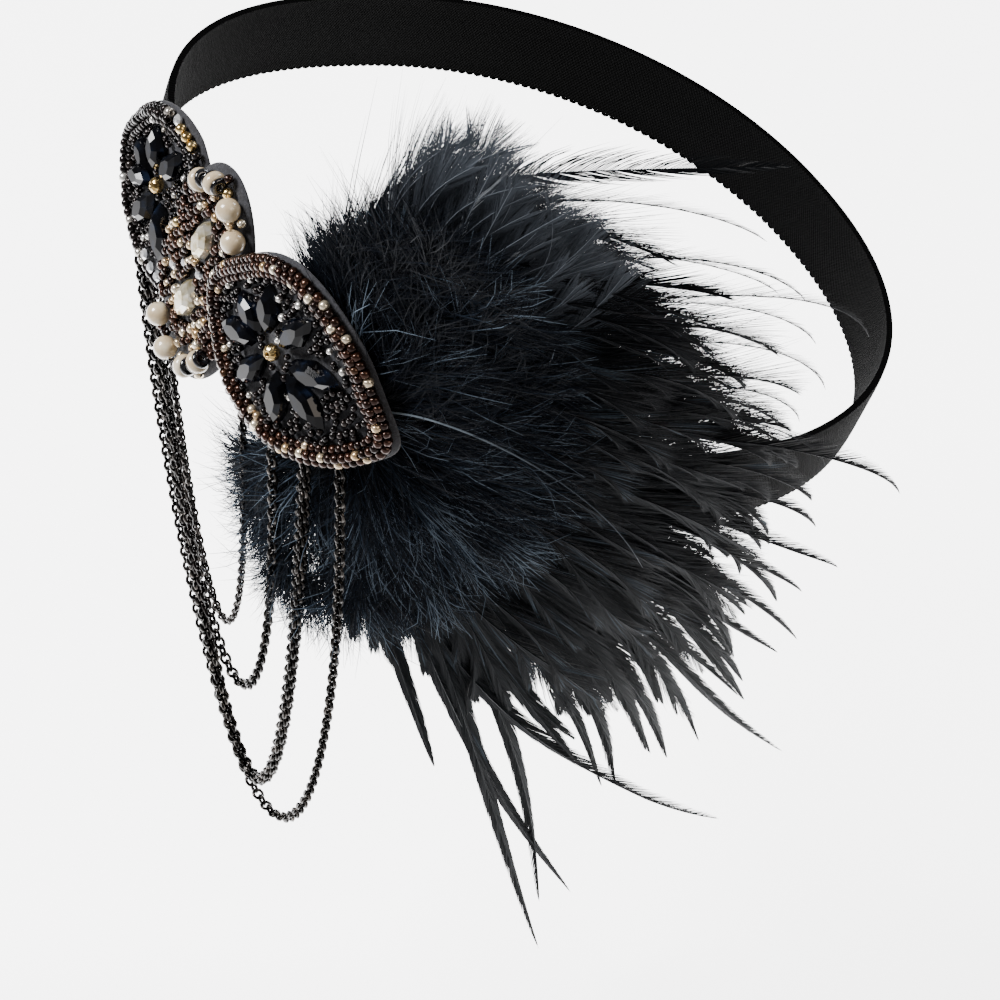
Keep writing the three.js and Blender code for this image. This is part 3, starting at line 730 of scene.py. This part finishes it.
def mass_row(draw, turn, shares, lift):
    """A feather within the fan's mass: it reaches a share of the mass and droops as its neighbours do."""
    reach = np.interp(turn, MASS_TURNS, MASS_REACH) * draw.uniform(*shares)
    droop = np.interp(turn, DROOP_TURNS, DROOPS) + draw.normal(0, 4)
    return Hackle(turn, reach, droop, draw.uniform(*lift), np.interp(turn, DROOP_TURNS, CURLS), turn > -15)


def mass_layer(draw, turns, scatter, shares, lift, base_rise, styles, painted_sheen=FEW_PAINTED_SHEEN):
    """Feathers within the fan's mass, one at each turn, whose styles follow each other."""
    feathers = []
    for turn, style in zip(turns, cycle(styles)):
        row = mass_row(draw, turn + draw.normal(0, scatter), shares, lift)
        feathers.append(feather(draw, row, style, base_rise, np.interp(row.turn, *painted_sheen)))
    return feathers


def fan_layers():
    """The fan: broad feathers that keep the light out, its dense body, and two shorter layers over it."""
    draw = np.random.default_rng(18)
    under = mass_layer(draw, np.linspace(72, -78, 40), 1.5, (0.72, 0.88), (12, 20), 2.8, (UNDER,))
    feather_piece("hackles_under", under, hackle_barbs, "hackle")

    draw = np.random.default_rng(15)
    turns = np.linspace(74, -74, 72)
    spread = (1.5, (0.8, 1.06), (14, 27), 3.6)
    body = mass_layer(draw, turns[turns > 12], *spread, (SLEEK, SOFT, SOFT))
    body += mass_layer(draw, turns[turns <= 12], *spread, (SLEEK,))
    feather_piece("hackles_body", body, hackle_barbs, "hackle")

    draw = np.random.default_rng(12)
    turns = np.linspace(70, -80, 46)
    over = mass_layer(draw, turns, 2, (0.66, 0.92), (22, 31), 5.5, (SOFT,), OVER_PAINTED_SHEEN)
    turns = np.linspace(64, -100, 36)
    over += mass_layer(draw, turns, 3, (0.46, 0.68), (28, 40), 7.0, (SOFT,), TOP_PAINTED_SHEEN)
    feather_piece("hackles_over", over, hackle_barbs, "hackle")


def under_down():
    """Soft short feathers under the top of the down, which keep the light from showing through it."""
    draw = np.random.default_rng(17)
    feathers = []
    for turn in np.linspace(60, 116, 30):
        row = mass_row(draw, turn, (0.66, 0.9), (8, 22))._replace(droop=draw.normal(0, 6), curl=1.0)
        feathers.append(feather(draw, row, DOWNY, draw.uniform(4, 6)))
    feather_piece("down_under", feathers, down_barbs, "down")


def wisps():
    """Thin soft plumes that stand off the top of the down, painted pale grey for the light that shows through
    them.
    """
    draw = np.random.default_rng(14)
    feathers = []
    for turn in np.linspace(64, 90, 48):
        reach = np.interp(turn, DOWN_TURNS, DOWN_REACH) * draw.uniform(1.1, 1.34)
        row = Hackle(turn, reach, draw.normal(5, 6), draw.uniform(18, 30))
        feathers.append(feather(draw, row, WISP, 6.0, bare=0.6))
    feather_piece("down_wisps", feathers, pale_down, "down")


def bare_quill():
    """One pale quill that shows over the feathers below the wing's tip and ends in a satin feather."""
    draw = np.random.default_rng(16)
    row = Hackle(-2, 58, 72, 70)
    run, across, up, rise = quill_line(draw, row, 10.5, 0.8)
    share = run / run[-1]
    sides = 6
    points, faces = tube(wall(across, up, rise), wall_out(across), 0.2 * (1 - share) ** 0.6 + 0.03, sides)
    tips = np.repeat(np.clip(1.6 * share, 0, 1), sides)
    new_piece("bare_quill", points, faces, pale_quill, ["hackle_plume"], attributes={"tip": tips})


def clear_of_wing(across, up, rise):
    """Which strands keep out of the left wing's felt and beads."""
    wing = WINGS[0]
    edge_across, edge_up = on_wing(wing, WING_EDGE[::6] * 1.02)
    over = inside(edge_across, edge_up, across, up) & (rise > wing_rise(wing, across) - 0.6)
    return ~over.any(axis=1)


def down():
    """The down over the hackles' quills: tufts of fine strands that spread from the fan's centre."""
    draw = np.random.default_rng(13)
    count = TUFTS * STRANDS
    turn = draw.uniform(*DOWN_SPAN, TUFTS)
    reach = np.interp(turn, DOWN_TURNS, DOWN_REACH)
    lift = np.interp(turn, DOWN_TURNS, DOWN_LIFT)
    distance = reach * (0.12 + 0.72 * draw.uniform(0, 1, TUFTS) ** 0.75)
    long = np.minimum(draw.uniform(12, 26, TUFTS), 1.05 * reach - distance)
    across, up = fan_place(turn, distance)
    past = np.clip((distance - 26) / np.maximum(reach - 26, 1), 0, 1)
    rise = 5.0 + lift * past**2 + draw.uniform(0, 2.0, TUFTS)
    heading = np.radians(turn + draw.normal(0, 14, TUFTS))
    climb = np.clip(0.015 * lift + draw.normal(0.06, 0.1, TUFTS), -0.25, 0.45)

    def each(values, scatter):
        return np.repeat(values, STRANDS)[:, None] + draw.normal(0, scatter, (count, 1))

    share = np.array([[0, 0.35, 0.7, 1.0]])
    barb = np.repeat(long, STRANDS)[:, None] * draw.uniform(0.5, 1.05, (count, 1))
    bend = each(heading, 0.3) + draw.normal(0, 0.5, (count, 1)) * share**1.5
    step = np.diff(share, prepend=0) * barb
    strand_across = each(across, 0.9) + np.cumsum(step * np.cos(bend), axis=1)
    strand_up = each(up, 0.9) + np.cumsum(step * np.sin(bend), axis=1)
    wave = draw.normal(0, 0.9, (count, 1)) * np.sin(4 * share + draw.uniform(0, 6, (count, 1))) * share
    strand_rise = each(rise, 0.3) + barb * each(climb, 0.07) * np.sin(0.5 * math.pi * share) + wave
    strand_rise = np.maximum(strand_rise, 1.2)
    keep = clear_of_wing(strand_across, strand_up, strand_rise)
    strand_across = strand_across[keep]
    points = wall(strand_across, strand_up[keep], strand_rise[keep])
    half = np.broadcast_to(np.array([0.08, 0.09, 0.07, 0.015]), points.shape[:2])
    corners, faces = ribbons(points, wall_out(strand_across), half, draw.normal(0, 0.6, len(points)))
    # Some tufts of silky down get a painted sheen: a paler blue-grey that stands in for light caught on them.
    painted_sheen_tufts = draw.uniform(0, 1, TUFTS) < np.interp(turn, (-60, 0, 40, 70), (0.36, 0.34, 0.22, 0.1))
    painted_sheen_tone = np.repeat(np.where(painted_sheen_tufts, draw.uniform(0.25, 0.6, TUFTS), 0), STRANDS)
    tips = np.repeat((painted_sheen_tone[keep][:, None] + 0.45 * share).ravel(), 2)
    new_piece("down", corners, faces, down_barbs, ["down_plume"], attributes={"tip": tips})


# Beadwork

def mirrored(half, steps):
    """A bead spun from the lower half of its outline and the same half turned over."""
    upper = [(radius, -height) for radius, height in reversed(half) if height]
    return spun([*half, *upper], steps)


def round_bead(radius, hole, depth, reach, count, steps, squash=1.0):
    """A round bead, its hole along Z: the hole's radius and depth, and how far round its side reaches."""
    turns = np.linspace(-reach, reach, count)
    side = [(radius * math.cos(turn), squash * radius * math.sin(turn)) for turn in turns]
    return spun([(hole, -depth), *side, (hole, depth)], steps)


def seed_bead(radius):
    """A rocaille: a short round bead with a hole, its hole along Z."""
    hole, height = 0.34 * radius, 0.86 * radius
    return mirrored(((hole, -0.6 * height), (0.62 * radius, -height), (radius, -0.45 * height)), 9)


def around(values, share):
    """Values given at even steps round a closed line, read at shares of its length."""
    closed = np.concatenate([values, values[:1]])
    return read_at(share, np.linspace(0, 1, len(closed)), closed)


def toned(draw, counts, points_each, bright):
    """A tone for each bead, the same on all its points: dark, but for a share of bright ones."""
    dark, pale = draw.uniform(0, 0.42, counts), draw.uniform(0.7, 1, counts)
    return np.repeat(np.where(draw.uniform(0, 1, counts) < bright, pale, dark), points_each)


# The rows of a rim: how far out of its middle, how high, and the beads' radius.
RIM_ROWS = ((1.5, 1.0, 1.1), (-1.4, 0.95, 1.0), (0.1, 1.8, 1.05))


def wing_rim(wing, material):
    """The border of a wing: three close rows of seed beads, the middle row lying on the other two."""
    draw = np.random.default_rng(20 + wing.side)
    parts, tones = [], []
    for out, height, radius in RIM_ROWS:
        share = RIM_INSET + out / np.linalg.norm(WING_EDGE, axis=1)
        across, up = on_wing(wing, WING_EDGE * share[:, None])
        path = wall(across, up, wing_rise(wing, across) + FELT + GAP + height)
        places, runs, at = spaced(path, 1.78 * radius, closed=True)
        first = unit(around(wall_out(across), at))
        places = places + first * draw.normal(0, 0.06 * radius, len(places))[:, None]
        runs = unit(runs + draw.normal(0, 0.12, runs.shape))
        row = around(np.stack([across, up], -1), at)
        shown = clear_of(places, ACCENT_POINTS, 2.0)
        if wing.inner_rise < MEDALLION["rise"]:
            shown &= beside_medallion(row[:, 0], row[:, 1], radius + 0.2)
        count = int(shown.sum())
        sizes = draw.normal(1, 0.05, count)
        beads = placed(seed_bead(radius), places[shown], first[shown], runs[shown], sizes)
        parts.append(beads)
        # The lower edge is sewn with the most bright beads.
        low = np.clip((wing.up - row[shown, 1]) / 20, 0, 1)
        tones.append(toned(draw, count, len(beads[0]) // count, 0.07 + 0.14 * low))
    points, faces = gather(parts)
    name = f"wing_{wing.name}_rim"
    tones = np.concatenate(tones)
    new_piece(f"{name}_beads", points, faces, material, [name], attributes={"tone": tones})


def surface_points(names):
    """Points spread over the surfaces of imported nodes, in millimetres."""
    steps = np.linspace(0, 1, 6)
    weights = np.array([(a, b) for a in steps for b in steps if a + b <= 1.001])
    found = []
    for name in names:
        points, faces = triangles(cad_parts[name].data)
        corners = points[faces] / MM
        a, b = weights[:, :1], weights[:, 1:]
        spread = corners[:, None, 0] * (1 - a - b) + corners[:, None, 1] * a + corners[:, None, 2] * b
        found.append(spread.reshape(-1, 3))
    return np.concatenate(found)


def clear_of(places, blockers, distance):
    """Which places keep a distance from a cloud of points."""
    free = np.ones(len(places), bool)
    for i, place in enumerate(places):
        free[i] = np.min(np.sum((blockers - place) ** 2, axis=1)) > distance**2
    return free


def scattered(draw, half_across, half_up, spacing):
    """A close, slightly uneven grid of places over a field."""
    columns = np.arange(-half_across, half_across, spacing)
    rows = np.arange(-half_up, half_up, spacing * 0.87)
    grid = np.array([(x + 0.5 * spacing * (j % 2), y) for j, y in enumerate(rows) for x in columns])
    return grid + draw.normal(0, 0.15 * spacing, grid.shape)


def fill_beads(name, draw, across, up, rise, radius, blockers, material, slot, bright):
    """Small beads sewn close together wherever the larger stones leave room."""
    outs = wall_out(across)
    places = wall(across, up, rise)
    free = clear_of(places, blockers, radius + 0.1) & clear_of(places, ACCENT_POINTS, 1.9)
    places, outs = places[free], outs[free]
    along = unit(np.cross(outs, draw.normal(0, 1, outs.shape)))
    points, faces = placed(seed_bead(radius), places, outs, along, draw.normal(1, 0.08, len(places)))
    tones = toned(draw, len(places), len(points) // len(places), bright)
    new_piece(name, points, faces, material, attributes={"tone": tones})


def wing_fill(wing, material, slot):
    """The small beads between a wing's flower and its rim."""
    draw = np.random.default_rng(30 + wing.side)
    radius = 0.8
    grid = scattered(draw, 27, 24, 1.95)
    edge = WING_EDGE[::4] * (RIM_INSET - 0.1)
    grid = grid[inside(edge[:, 0], edge[:, 1], grid[:, 0], grid[:, 1])]
    across, up = on_wing(wing, grid)
    if wing.inner_rise < MEDALLION["rise"]:
        bare = beside_medallion(across, up, radius + 0.1)
        across, up = across[bare], up[bare]
    rise = wing_rise(wing, across) + FELT + GAP + radius
    kinds = (f"petal_{wing.name}", f"flower_bead_{wing.name}")
    stones = [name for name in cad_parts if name.startswith(kinds)]
    name = f"wing_{wing.name}_fill_beads"
    fill_beads(name, draw, across, up, rise, radius, surface_points(stones), material, slot, 0.08)


def medallion_fill():
    """The bronze beads between the medallion's stones."""
    draw = np.random.default_rng(33)
    radius = 1.05
    grid = scattered(draw, MEDALLION["half_width"], MEDALLION["half_height"], 2.15)
    across, up = MEDALLION["across"] + grid[:, 0], grid[:, 1]
    inner = ~beside_medallion(across, up, -1)
    across, up = across[inner], up[inner]
    rise = np.full(len(across), MEDALLION["rise"] + FELT + GAP + radius)
    stones = [*MEDALLION_PEARLS, *MEDALLION_STRIPED, "crystal_upper", "crystal_lower", "wing_left_backing"]
    blockers = surface_points(stones)
    look = (bronze_beads, "bronze_seed_beads", 0.26)
    fill_beads("medallion_fill_beads", draw, across, up, rise, radius, blockers, *look)


# Single bright stones and gilt beads among the small ones: across, up, and how far each stands out.
RHINESTONES = (
    (-8.0, -6.3, 4.6), (-4.3, -2.3, 4.6), (1.2, -0.5, 4.6),
    (-19.6, -15.3, 4.4), (-16.2, -15.8, 4.2), (-13.0, -15.2, 4.1), (-21.7, 21.6, 4.0),
)
GILT_BEADS = (
    (-19.4, 21.3, 4.7), (-17.1, 21.2, 4.3), (-14.8, 20.9, 4.0), (3.0, 24.5, 5.7), (-10.0, 4.0, 5.7),
)


def accent_places(rows):
    across, up, rise = np.array(rows).T
    return wall(across, up, rise), wall_out(across)


def accents():
    """Small round cut stones and gilt beads that stand out among the seed beads."""
    stone = spun(((0, 0), (0.95, 0.05), (1.35, 0.75), (0.8, 1.3), (0, 1.35)), 8)
    bead = round_bead(1.2, 0, 1.2, 1.5, 8, 12)
    kinds = (
        ("rhinestones", stone, RHINESTONES, bright_glass, "clear_stone", False),
        ("gilt_accent_beads", bead, GILT_BEADS, gilt, "gilt_bead", True),
    )
    for name, shape, rows, material, slot, smooth in kinds:
        places, outs = accent_places(rows)
        points, faces = placed(shape, places, np.tile(UPRIGHT, (len(places), 1)), outs)
        new_piece(name, points, faces, material, smooth=smooth)


ACCENT_POINTS = np.concatenate([accent_places(RHINESTONES)[0], accent_places(GILT_BEADS)[0]])


def ring_place(angle, height):
    """A place on the medallion's ring of beads: the point, the way out and the run of the ring."""
    turn = math.radians(angle)

    def at(where):
        across = np.array([MEDALLION["across"] + MEDALLION["ring_across"] * math.cos(where)])
        up = np.array([MEDALLION["ring_up"] * math.sin(where)])
        return wall(across, up, MEDALLION["rise"] + FELT + GAP + height), wall_out(across)

    place, out = at(turn)
    run = at(turn + 0.02)[0] - at(turn - 0.02)[0]
    return place, out, run


def pearls():
    """Cream pearls, drilled along the medallion's edge."""
    shape = round_bead(PEARL_RADIUS, 0.45, 0.6 * PEARL_RADIUS, math.pi / 2 - 0.16, 15, 28)
    for name, angle in MEDALLION_PEARLS.items():
        points, faces = placed(shape, *ring_place(angle, PEARL_RADIUS))
        new_piece(f"{name}_drilled", points, faces, cream_pearl, [name])


STRIPED = {"radius": 2.6, "half_length": 1.35, "end_radius": 1.75, "hole": 0.5}
DISC = {"radius": 2.15, "half_length": 0.42}


def striped_beads():
    """White barrels, each held between two black discs."""
    s, d = STRIPED, DISC
    barrel = mirrored((
        (s["hole"], -0.9 * s["half_length"]), (s["end_radius"], -s["half_length"]),
        (0.93 * s["radius"], -0.6 * s["half_length"]), (s["radius"], 0),
    ), 24)
    disc = mirrored((
        (s["hole"], -d["half_length"]), (0.8 * d["radius"], -d["half_length"]), (d["radius"], 0),
    ), 16)
    disc_parts = []
    for name, angle in MEDALLION_STRIPED.items():
        place, out, run = ring_place(angle, s["radius"])
        points, faces = placed(barrel, place, out, run)
        new_piece(f"{name}_barrel", points, faces, cream_pearl, [name])
        for end in (-1, 1):
            disc_place = place + end * (s["half_length"] + d["half_length"]) * unit(run)
            disc_parts.append(placed(disc, disc_place, out, run))
    points, faces = gather(disc_parts)
    new_piece("striped_bead_discs", points, faces, black_glass)


def flower_beads():
    """Gilt beads in the flowers' middles, ribbed like small pumpkins."""
    radius, ribs = 1.9, 10
    shape, faces = round_bead(radius, 0.4, 0.62 * radius, 1.25, 9, 40, squash=0.86)
    turn = np.arctan2(shape[:, 1], shape[:, 0])
    shape[:, :2] *= (1 - 0.06 * (1 - np.cos(ribs * turn)))[:, None]
    for wing in WINGS:
        across, up = on_wing(wing, np.array([wing.flower], float))
        place = wall(across, up, wing_rise(wing, across) + FELT + GAP + 0.88 * radius)
        points, groups = placed((shape, faces), place, UPRIGHT[None], wall_out(across))
        name = f"flower_bead_{wing.name}"
        new_piece(f"{name}_ribbed", points, groups, gilt, [name])


# Chains

def chain_line(row):
    """The swag's line, hung between the two wings' lower edges."""
    ends = []
    for wing, across in zip(WINGS, (row.left, row.right)):
        place = wing.side * across
        edge_across, edge_up = on_wing(wing, WING_EDGE)
        low = edge_up[np.abs(edge_across - place) < 0.6 * row.diameter].min()
        ends.append(wall(place, low - GAP - 0.25 * row.diameter, wing_rise(wing, place) + FELT / 2))
    share = (1 - np.cos(np.linspace(0, math.pi, 200))) / 2
    line = ends[0] + share[:, None] * (ends[1] - ends[0])
    line[:, 2] -= row.sag * (4 * share * (1 - share)) ** row.fullness
    return line


def chain(row):
    """One chain of interlocking links that replaces its plain tube."""
    places, runs, _ = spaced(chain_line(row), row.pitch)
    across = unit(np.cross(runs, np.array([0.0, 1.0, 0.0])))
    other = np.cross(runs, across)
    turn = np.radians(row.twist * np.arange(len(places)))[:, None]
    first = np.cos(turn) * across + np.sin(turn) * other
    points, faces = placed(link_template(row.long, row.wide, row.wire), places, first, runs)
    new_piece(f"{row.name}_links", points, faces, gunmetal, [row.name])


# Elastic and felt

def elastic_band():
    """The woven loop: a long grid laid on the wall, joined into a ring and given its thickness."""
    bpy.ops.object.select_all(action="DESELECT")
    bpy.ops.mesh.primitive_grid_add(x_subdivisions=360, y_subdivisions=10, size=2)
    band = bpy.context.object
    band.name = "elastic_band_woven"
    flat = np.array([v.co for v in band.data.vertices])
    across = flat[:, 0] * LOOP_LENGTH / 2
    up = flat[:, 1] * BAND["width"] / 2
    # The edges draw in a little, as woven elastic does.
    rise = BAND["thickness"] / 2 - 0.25 * np.abs(flat[:, 1]) ** 6
    points = wall(across, up, rise) * MM
    band.data.vertices.foreach_set("co", points.astype(np.float32).ravel())
    only(band)
    with editing():
        bpy.ops.mesh.remove_doubles(threshold=0.00005)
        bpy.ops.mesh.normals_make_consistent(inside=False)
    wall_thickness = band.modifiers.new("thickness", "SOLIDIFY")
    wall_thickness.thickness = BAND["thickness"] * MM
    wall_thickness.offset = -1
    bpy.ops.object.modifier_apply(modifier=wall_thickness.name)
    bpy.ops.object.shade_smooth_by_angle(angle=math.radians(40))
    band.data.materials.clear()
    band.data.materials.append(black_elastic)
    dressed(band, ["elastic_band"])


PICOT = {"pitch": 2.3, "loop": 1.5, "yarn": 0.42}


def picot_edge():
    """Small looped knots along the elastic's lower edge."""
    across = np.linspace(-LOOP_LENGTH / 2, LOOP_LENGTH / 2, 600)
    line = wall(across, -BAND["width"] / 2 - 0.2, 0.0)
    places, runs, share = spaced(line, PICOT["pitch"], closed=True)
    outs = wall_out(share * LOOP_LENGTH - LOOP_LENGTH / 2)
    shape = link_template(PICOT["loop"] * 1.5, PICOT["loop"] * 1.5, PICOT["yarn"])
    first = np.cross(runs, outs)
    points, faces = placed(shape, places, first, runs)
    new_piece("elastic_picot_edge", points, faces, black_elastic, ["elastic_band"])


def felt_plate(name, outline_across, outline_up, rise):
    """A felt plate bent to the wall, with a soft rounded edge, that replaces its plain node."""
    centre_across, centre_up = outline_across.mean(), outline_up.mean()
    # Rings from the middle of the back, round the edge, to the middle of the front: share and height.
    rings = [(s, 0.0) for s in (0.02, 0.25, 0.5, 0.75, 0.95)]
    rings += [(0.99, 0.25), (1.0, 0.5), (0.99, 0.75)]
    rings += [(s, 1.0) for s in (0.95, 0.75, 0.5, 0.25, 0.02)]
    layers = []
    for share, height in rings:
        across = centre_across + share * (outline_across - centre_across)
        up = centre_up + share * (outline_up - centre_up)
        layers.append(wall(across, up, rise(across) + height * FELT))
    faces = ring_faces(len(rings), len(outline_across))
    turning = np.sum(outline_across * np.roll(outline_up, -1) - np.roll(outline_across, -1) * outline_up)
    if turning < 0:
        faces = [group[:, ::-1] for group in faces]
    new_piece(f"{name}_felt", np.concatenate(layers), faces, grey_felt, [name])


def felt_plates():
    """The felt of both wings, the medallion and the feather pad."""
    for wing in WINGS:
        across, up = on_wing(wing, WING_EDGE[::2])
        felt_plate(f"wing_{wing.name}_backing", across, up, lambda a, wing=wing: wing_rise(wing, a))
    turn = 2 * math.pi * np.arange(96) / 96
    across = MEDALLION["across"] + MEDALLION["half_width"] * np.cos(turn)
    up = MEDALLION["half_height"] * np.sin(turn)
    felt_plate("medallion_backing", across, up, lambda a: np.full(np.shape(a), MEDALLION["rise"]))
    across, up = fan_place(np.degrees(turn), PAD["radius"])
    felt_plate("feather_pad", across, up, lambda a: np.full(np.shape(a), PAD["rise"]))


def cut_stones():
    """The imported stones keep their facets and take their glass."""
    for name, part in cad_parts.items():
        for kind, glass in (("petal_", jet_glass), ("crystal_", clear_glass)):
            if name.startswith(kind):
                part.data.materials.clear()
                part.data.materials.append(glass)


# Stage

# The camera is placed in millimetres, and the paper and the lamps in metres.
CAMERA = {"place": (433.0, -357.0, 327.9), "aim": (17.7, -25.6, -51.3), "lens": 100.9, "sensor": 36}
PAPER = {"size": 8, "below": 0.02, "glow": 4.6}
ROOM_LIGHT = 0.16
# Each lamp's name, place, aim, size, power and colour.
LAMPS = (
    ("window", (-0.5, -1.1, 1.3), (0, -0.05, 0), 0.7, 75, "#fdfdff"),
    ("side_fill", (1.3, 0.2, 0.9), (0, 0, 0), 0.9, 8, "#fff1e2"),
    ("back_rim", (0.2, 1.2, 1.0), (0, 0, 0), 0.6, 8, "#f2f6ff"),
)


def stage():
    """Paper under the object that glows behind it, and a dim even room."""
    bpy.ops.object.select_all(action="DESELECT")
    bpy.ops.mesh.primitive_plane_add(size=PAPER["size"], location=(0, 0, cad_low.z - PAPER["below"]))
    floor = bpy.context.object
    floor.name = "floor"
    paper = {"Roughness": 0.9, "Emission_Color": srgb("#ffffff")}
    material, tree, shader = start_material("glowing_paper_sweep", **paper)
    # The glow falls off to grey before the object, so that beads and stones keep their depth.
    place = node(tree, "TexCoord").outputs["Object"]
    away = node(tree, "VectorMath", {1: (-0.78, 0.62, 0)}, {0: place}, operation="DOT_PRODUCT")
    aside = node(tree, "VectorMath", {1: (0.62, 0.78, 0)}, {0: place}, operation="DOT_PRODUCT")
    off = node(tree, "Math", links={0: aside.outputs["Value"]}, operation="ABSOLUTE")
    fades = []
    for least, most, along in ((-0.22, -0.03, away.outputs["Value"]), (0.6, 0.32, off.outputs[0])):
        fade = node(tree, "MapRange", {"From Min": least, "From Max": most}, {"Value": along},
                    interpolation_type="SMOOTHSTEP")
        fades.append(fade.outputs["Result"])
    glow = node(tree, "Math", links=dict(enumerate(fades)), operation="MULTIPLY").outputs[0]
    # Its colour is painted paler and it glows where it lies behind the object: a painted pool of light, with
    # no lamp.
    coloured(tree, shader, glow, ((0.0, "#b9b9ba"), (1.0, "#fbfafa")))
    power = node(tree, "Math", {1: PAPER["glow"]}, {0: glow}, operation="MULTIPLY")
    tree.links.new(power.outputs[0], shader.inputs["Emission Strength"])
    floor.data.materials.append(material)

    world = bpy.data.worlds.new("soft_room")
    bpy.context.scene.world = world
    world.use_nodes = True
    room = world.node_tree.nodes["Background"].inputs
    room["Color"].default_value = srgb("#f3f4f6")
    room["Strength"].default_value = ROOM_LIGHT


def aimed(name, data, place, aim):
    """Puts a lamp or a camera at its place and turns it to its aim."""
    made = bpy.data.objects.new(name, data)
    bpy.context.scene.collection.objects.link(made)
    made.location = place
    made.rotation_euler = (Vector(aim) - Vector(place)).to_track_quat("-Z", "Y").to_euler()
    return made


def area_light(name, place, aim, size, power, colour):
    data = bpy.data.lights.new(name, "AREA")
    data.shape = "DISK"
    data.size = size
    data.energy = power
    data.color = srgb(colour)[:3]
    aimed(name, data, place, aim)


def camera():
    data = bpy.data.cameras.new("camera")
    data.lens = CAMERA["lens"]
    data.sensor_width = CAMERA["sensor"]
    data.clip_start = 0.01
    place, aim = Vector(CAMERA["place"]) * MM, Vector(CAMERA["aim"]) * MM
    bpy.context.scene.camera = aimed("camera", data, place, aim)


camera()
stage()
for lamp in LAMPS:
    area_light(*lamp)

elastic_band()
picot_edge()
felt_plates()
long_hackles()
fan_layers()
bare_quill()
down()
under_down()
wisps()
accents()
wing_rim(WINGS[0], bronze_beads)
wing_rim(WINGS[1], gunmetal_beads)
wing_fill(WINGS[0], gunmetal_beads, "gunmetal_seed_beads")
wing_fill(WINGS[1], gunmetal_beads, "gunmetal_seed_beads")
medallion_fill()
pearls()
striped_beads()
flower_beads()
cut_stones()
for row in CHAINS:
    chain(row)
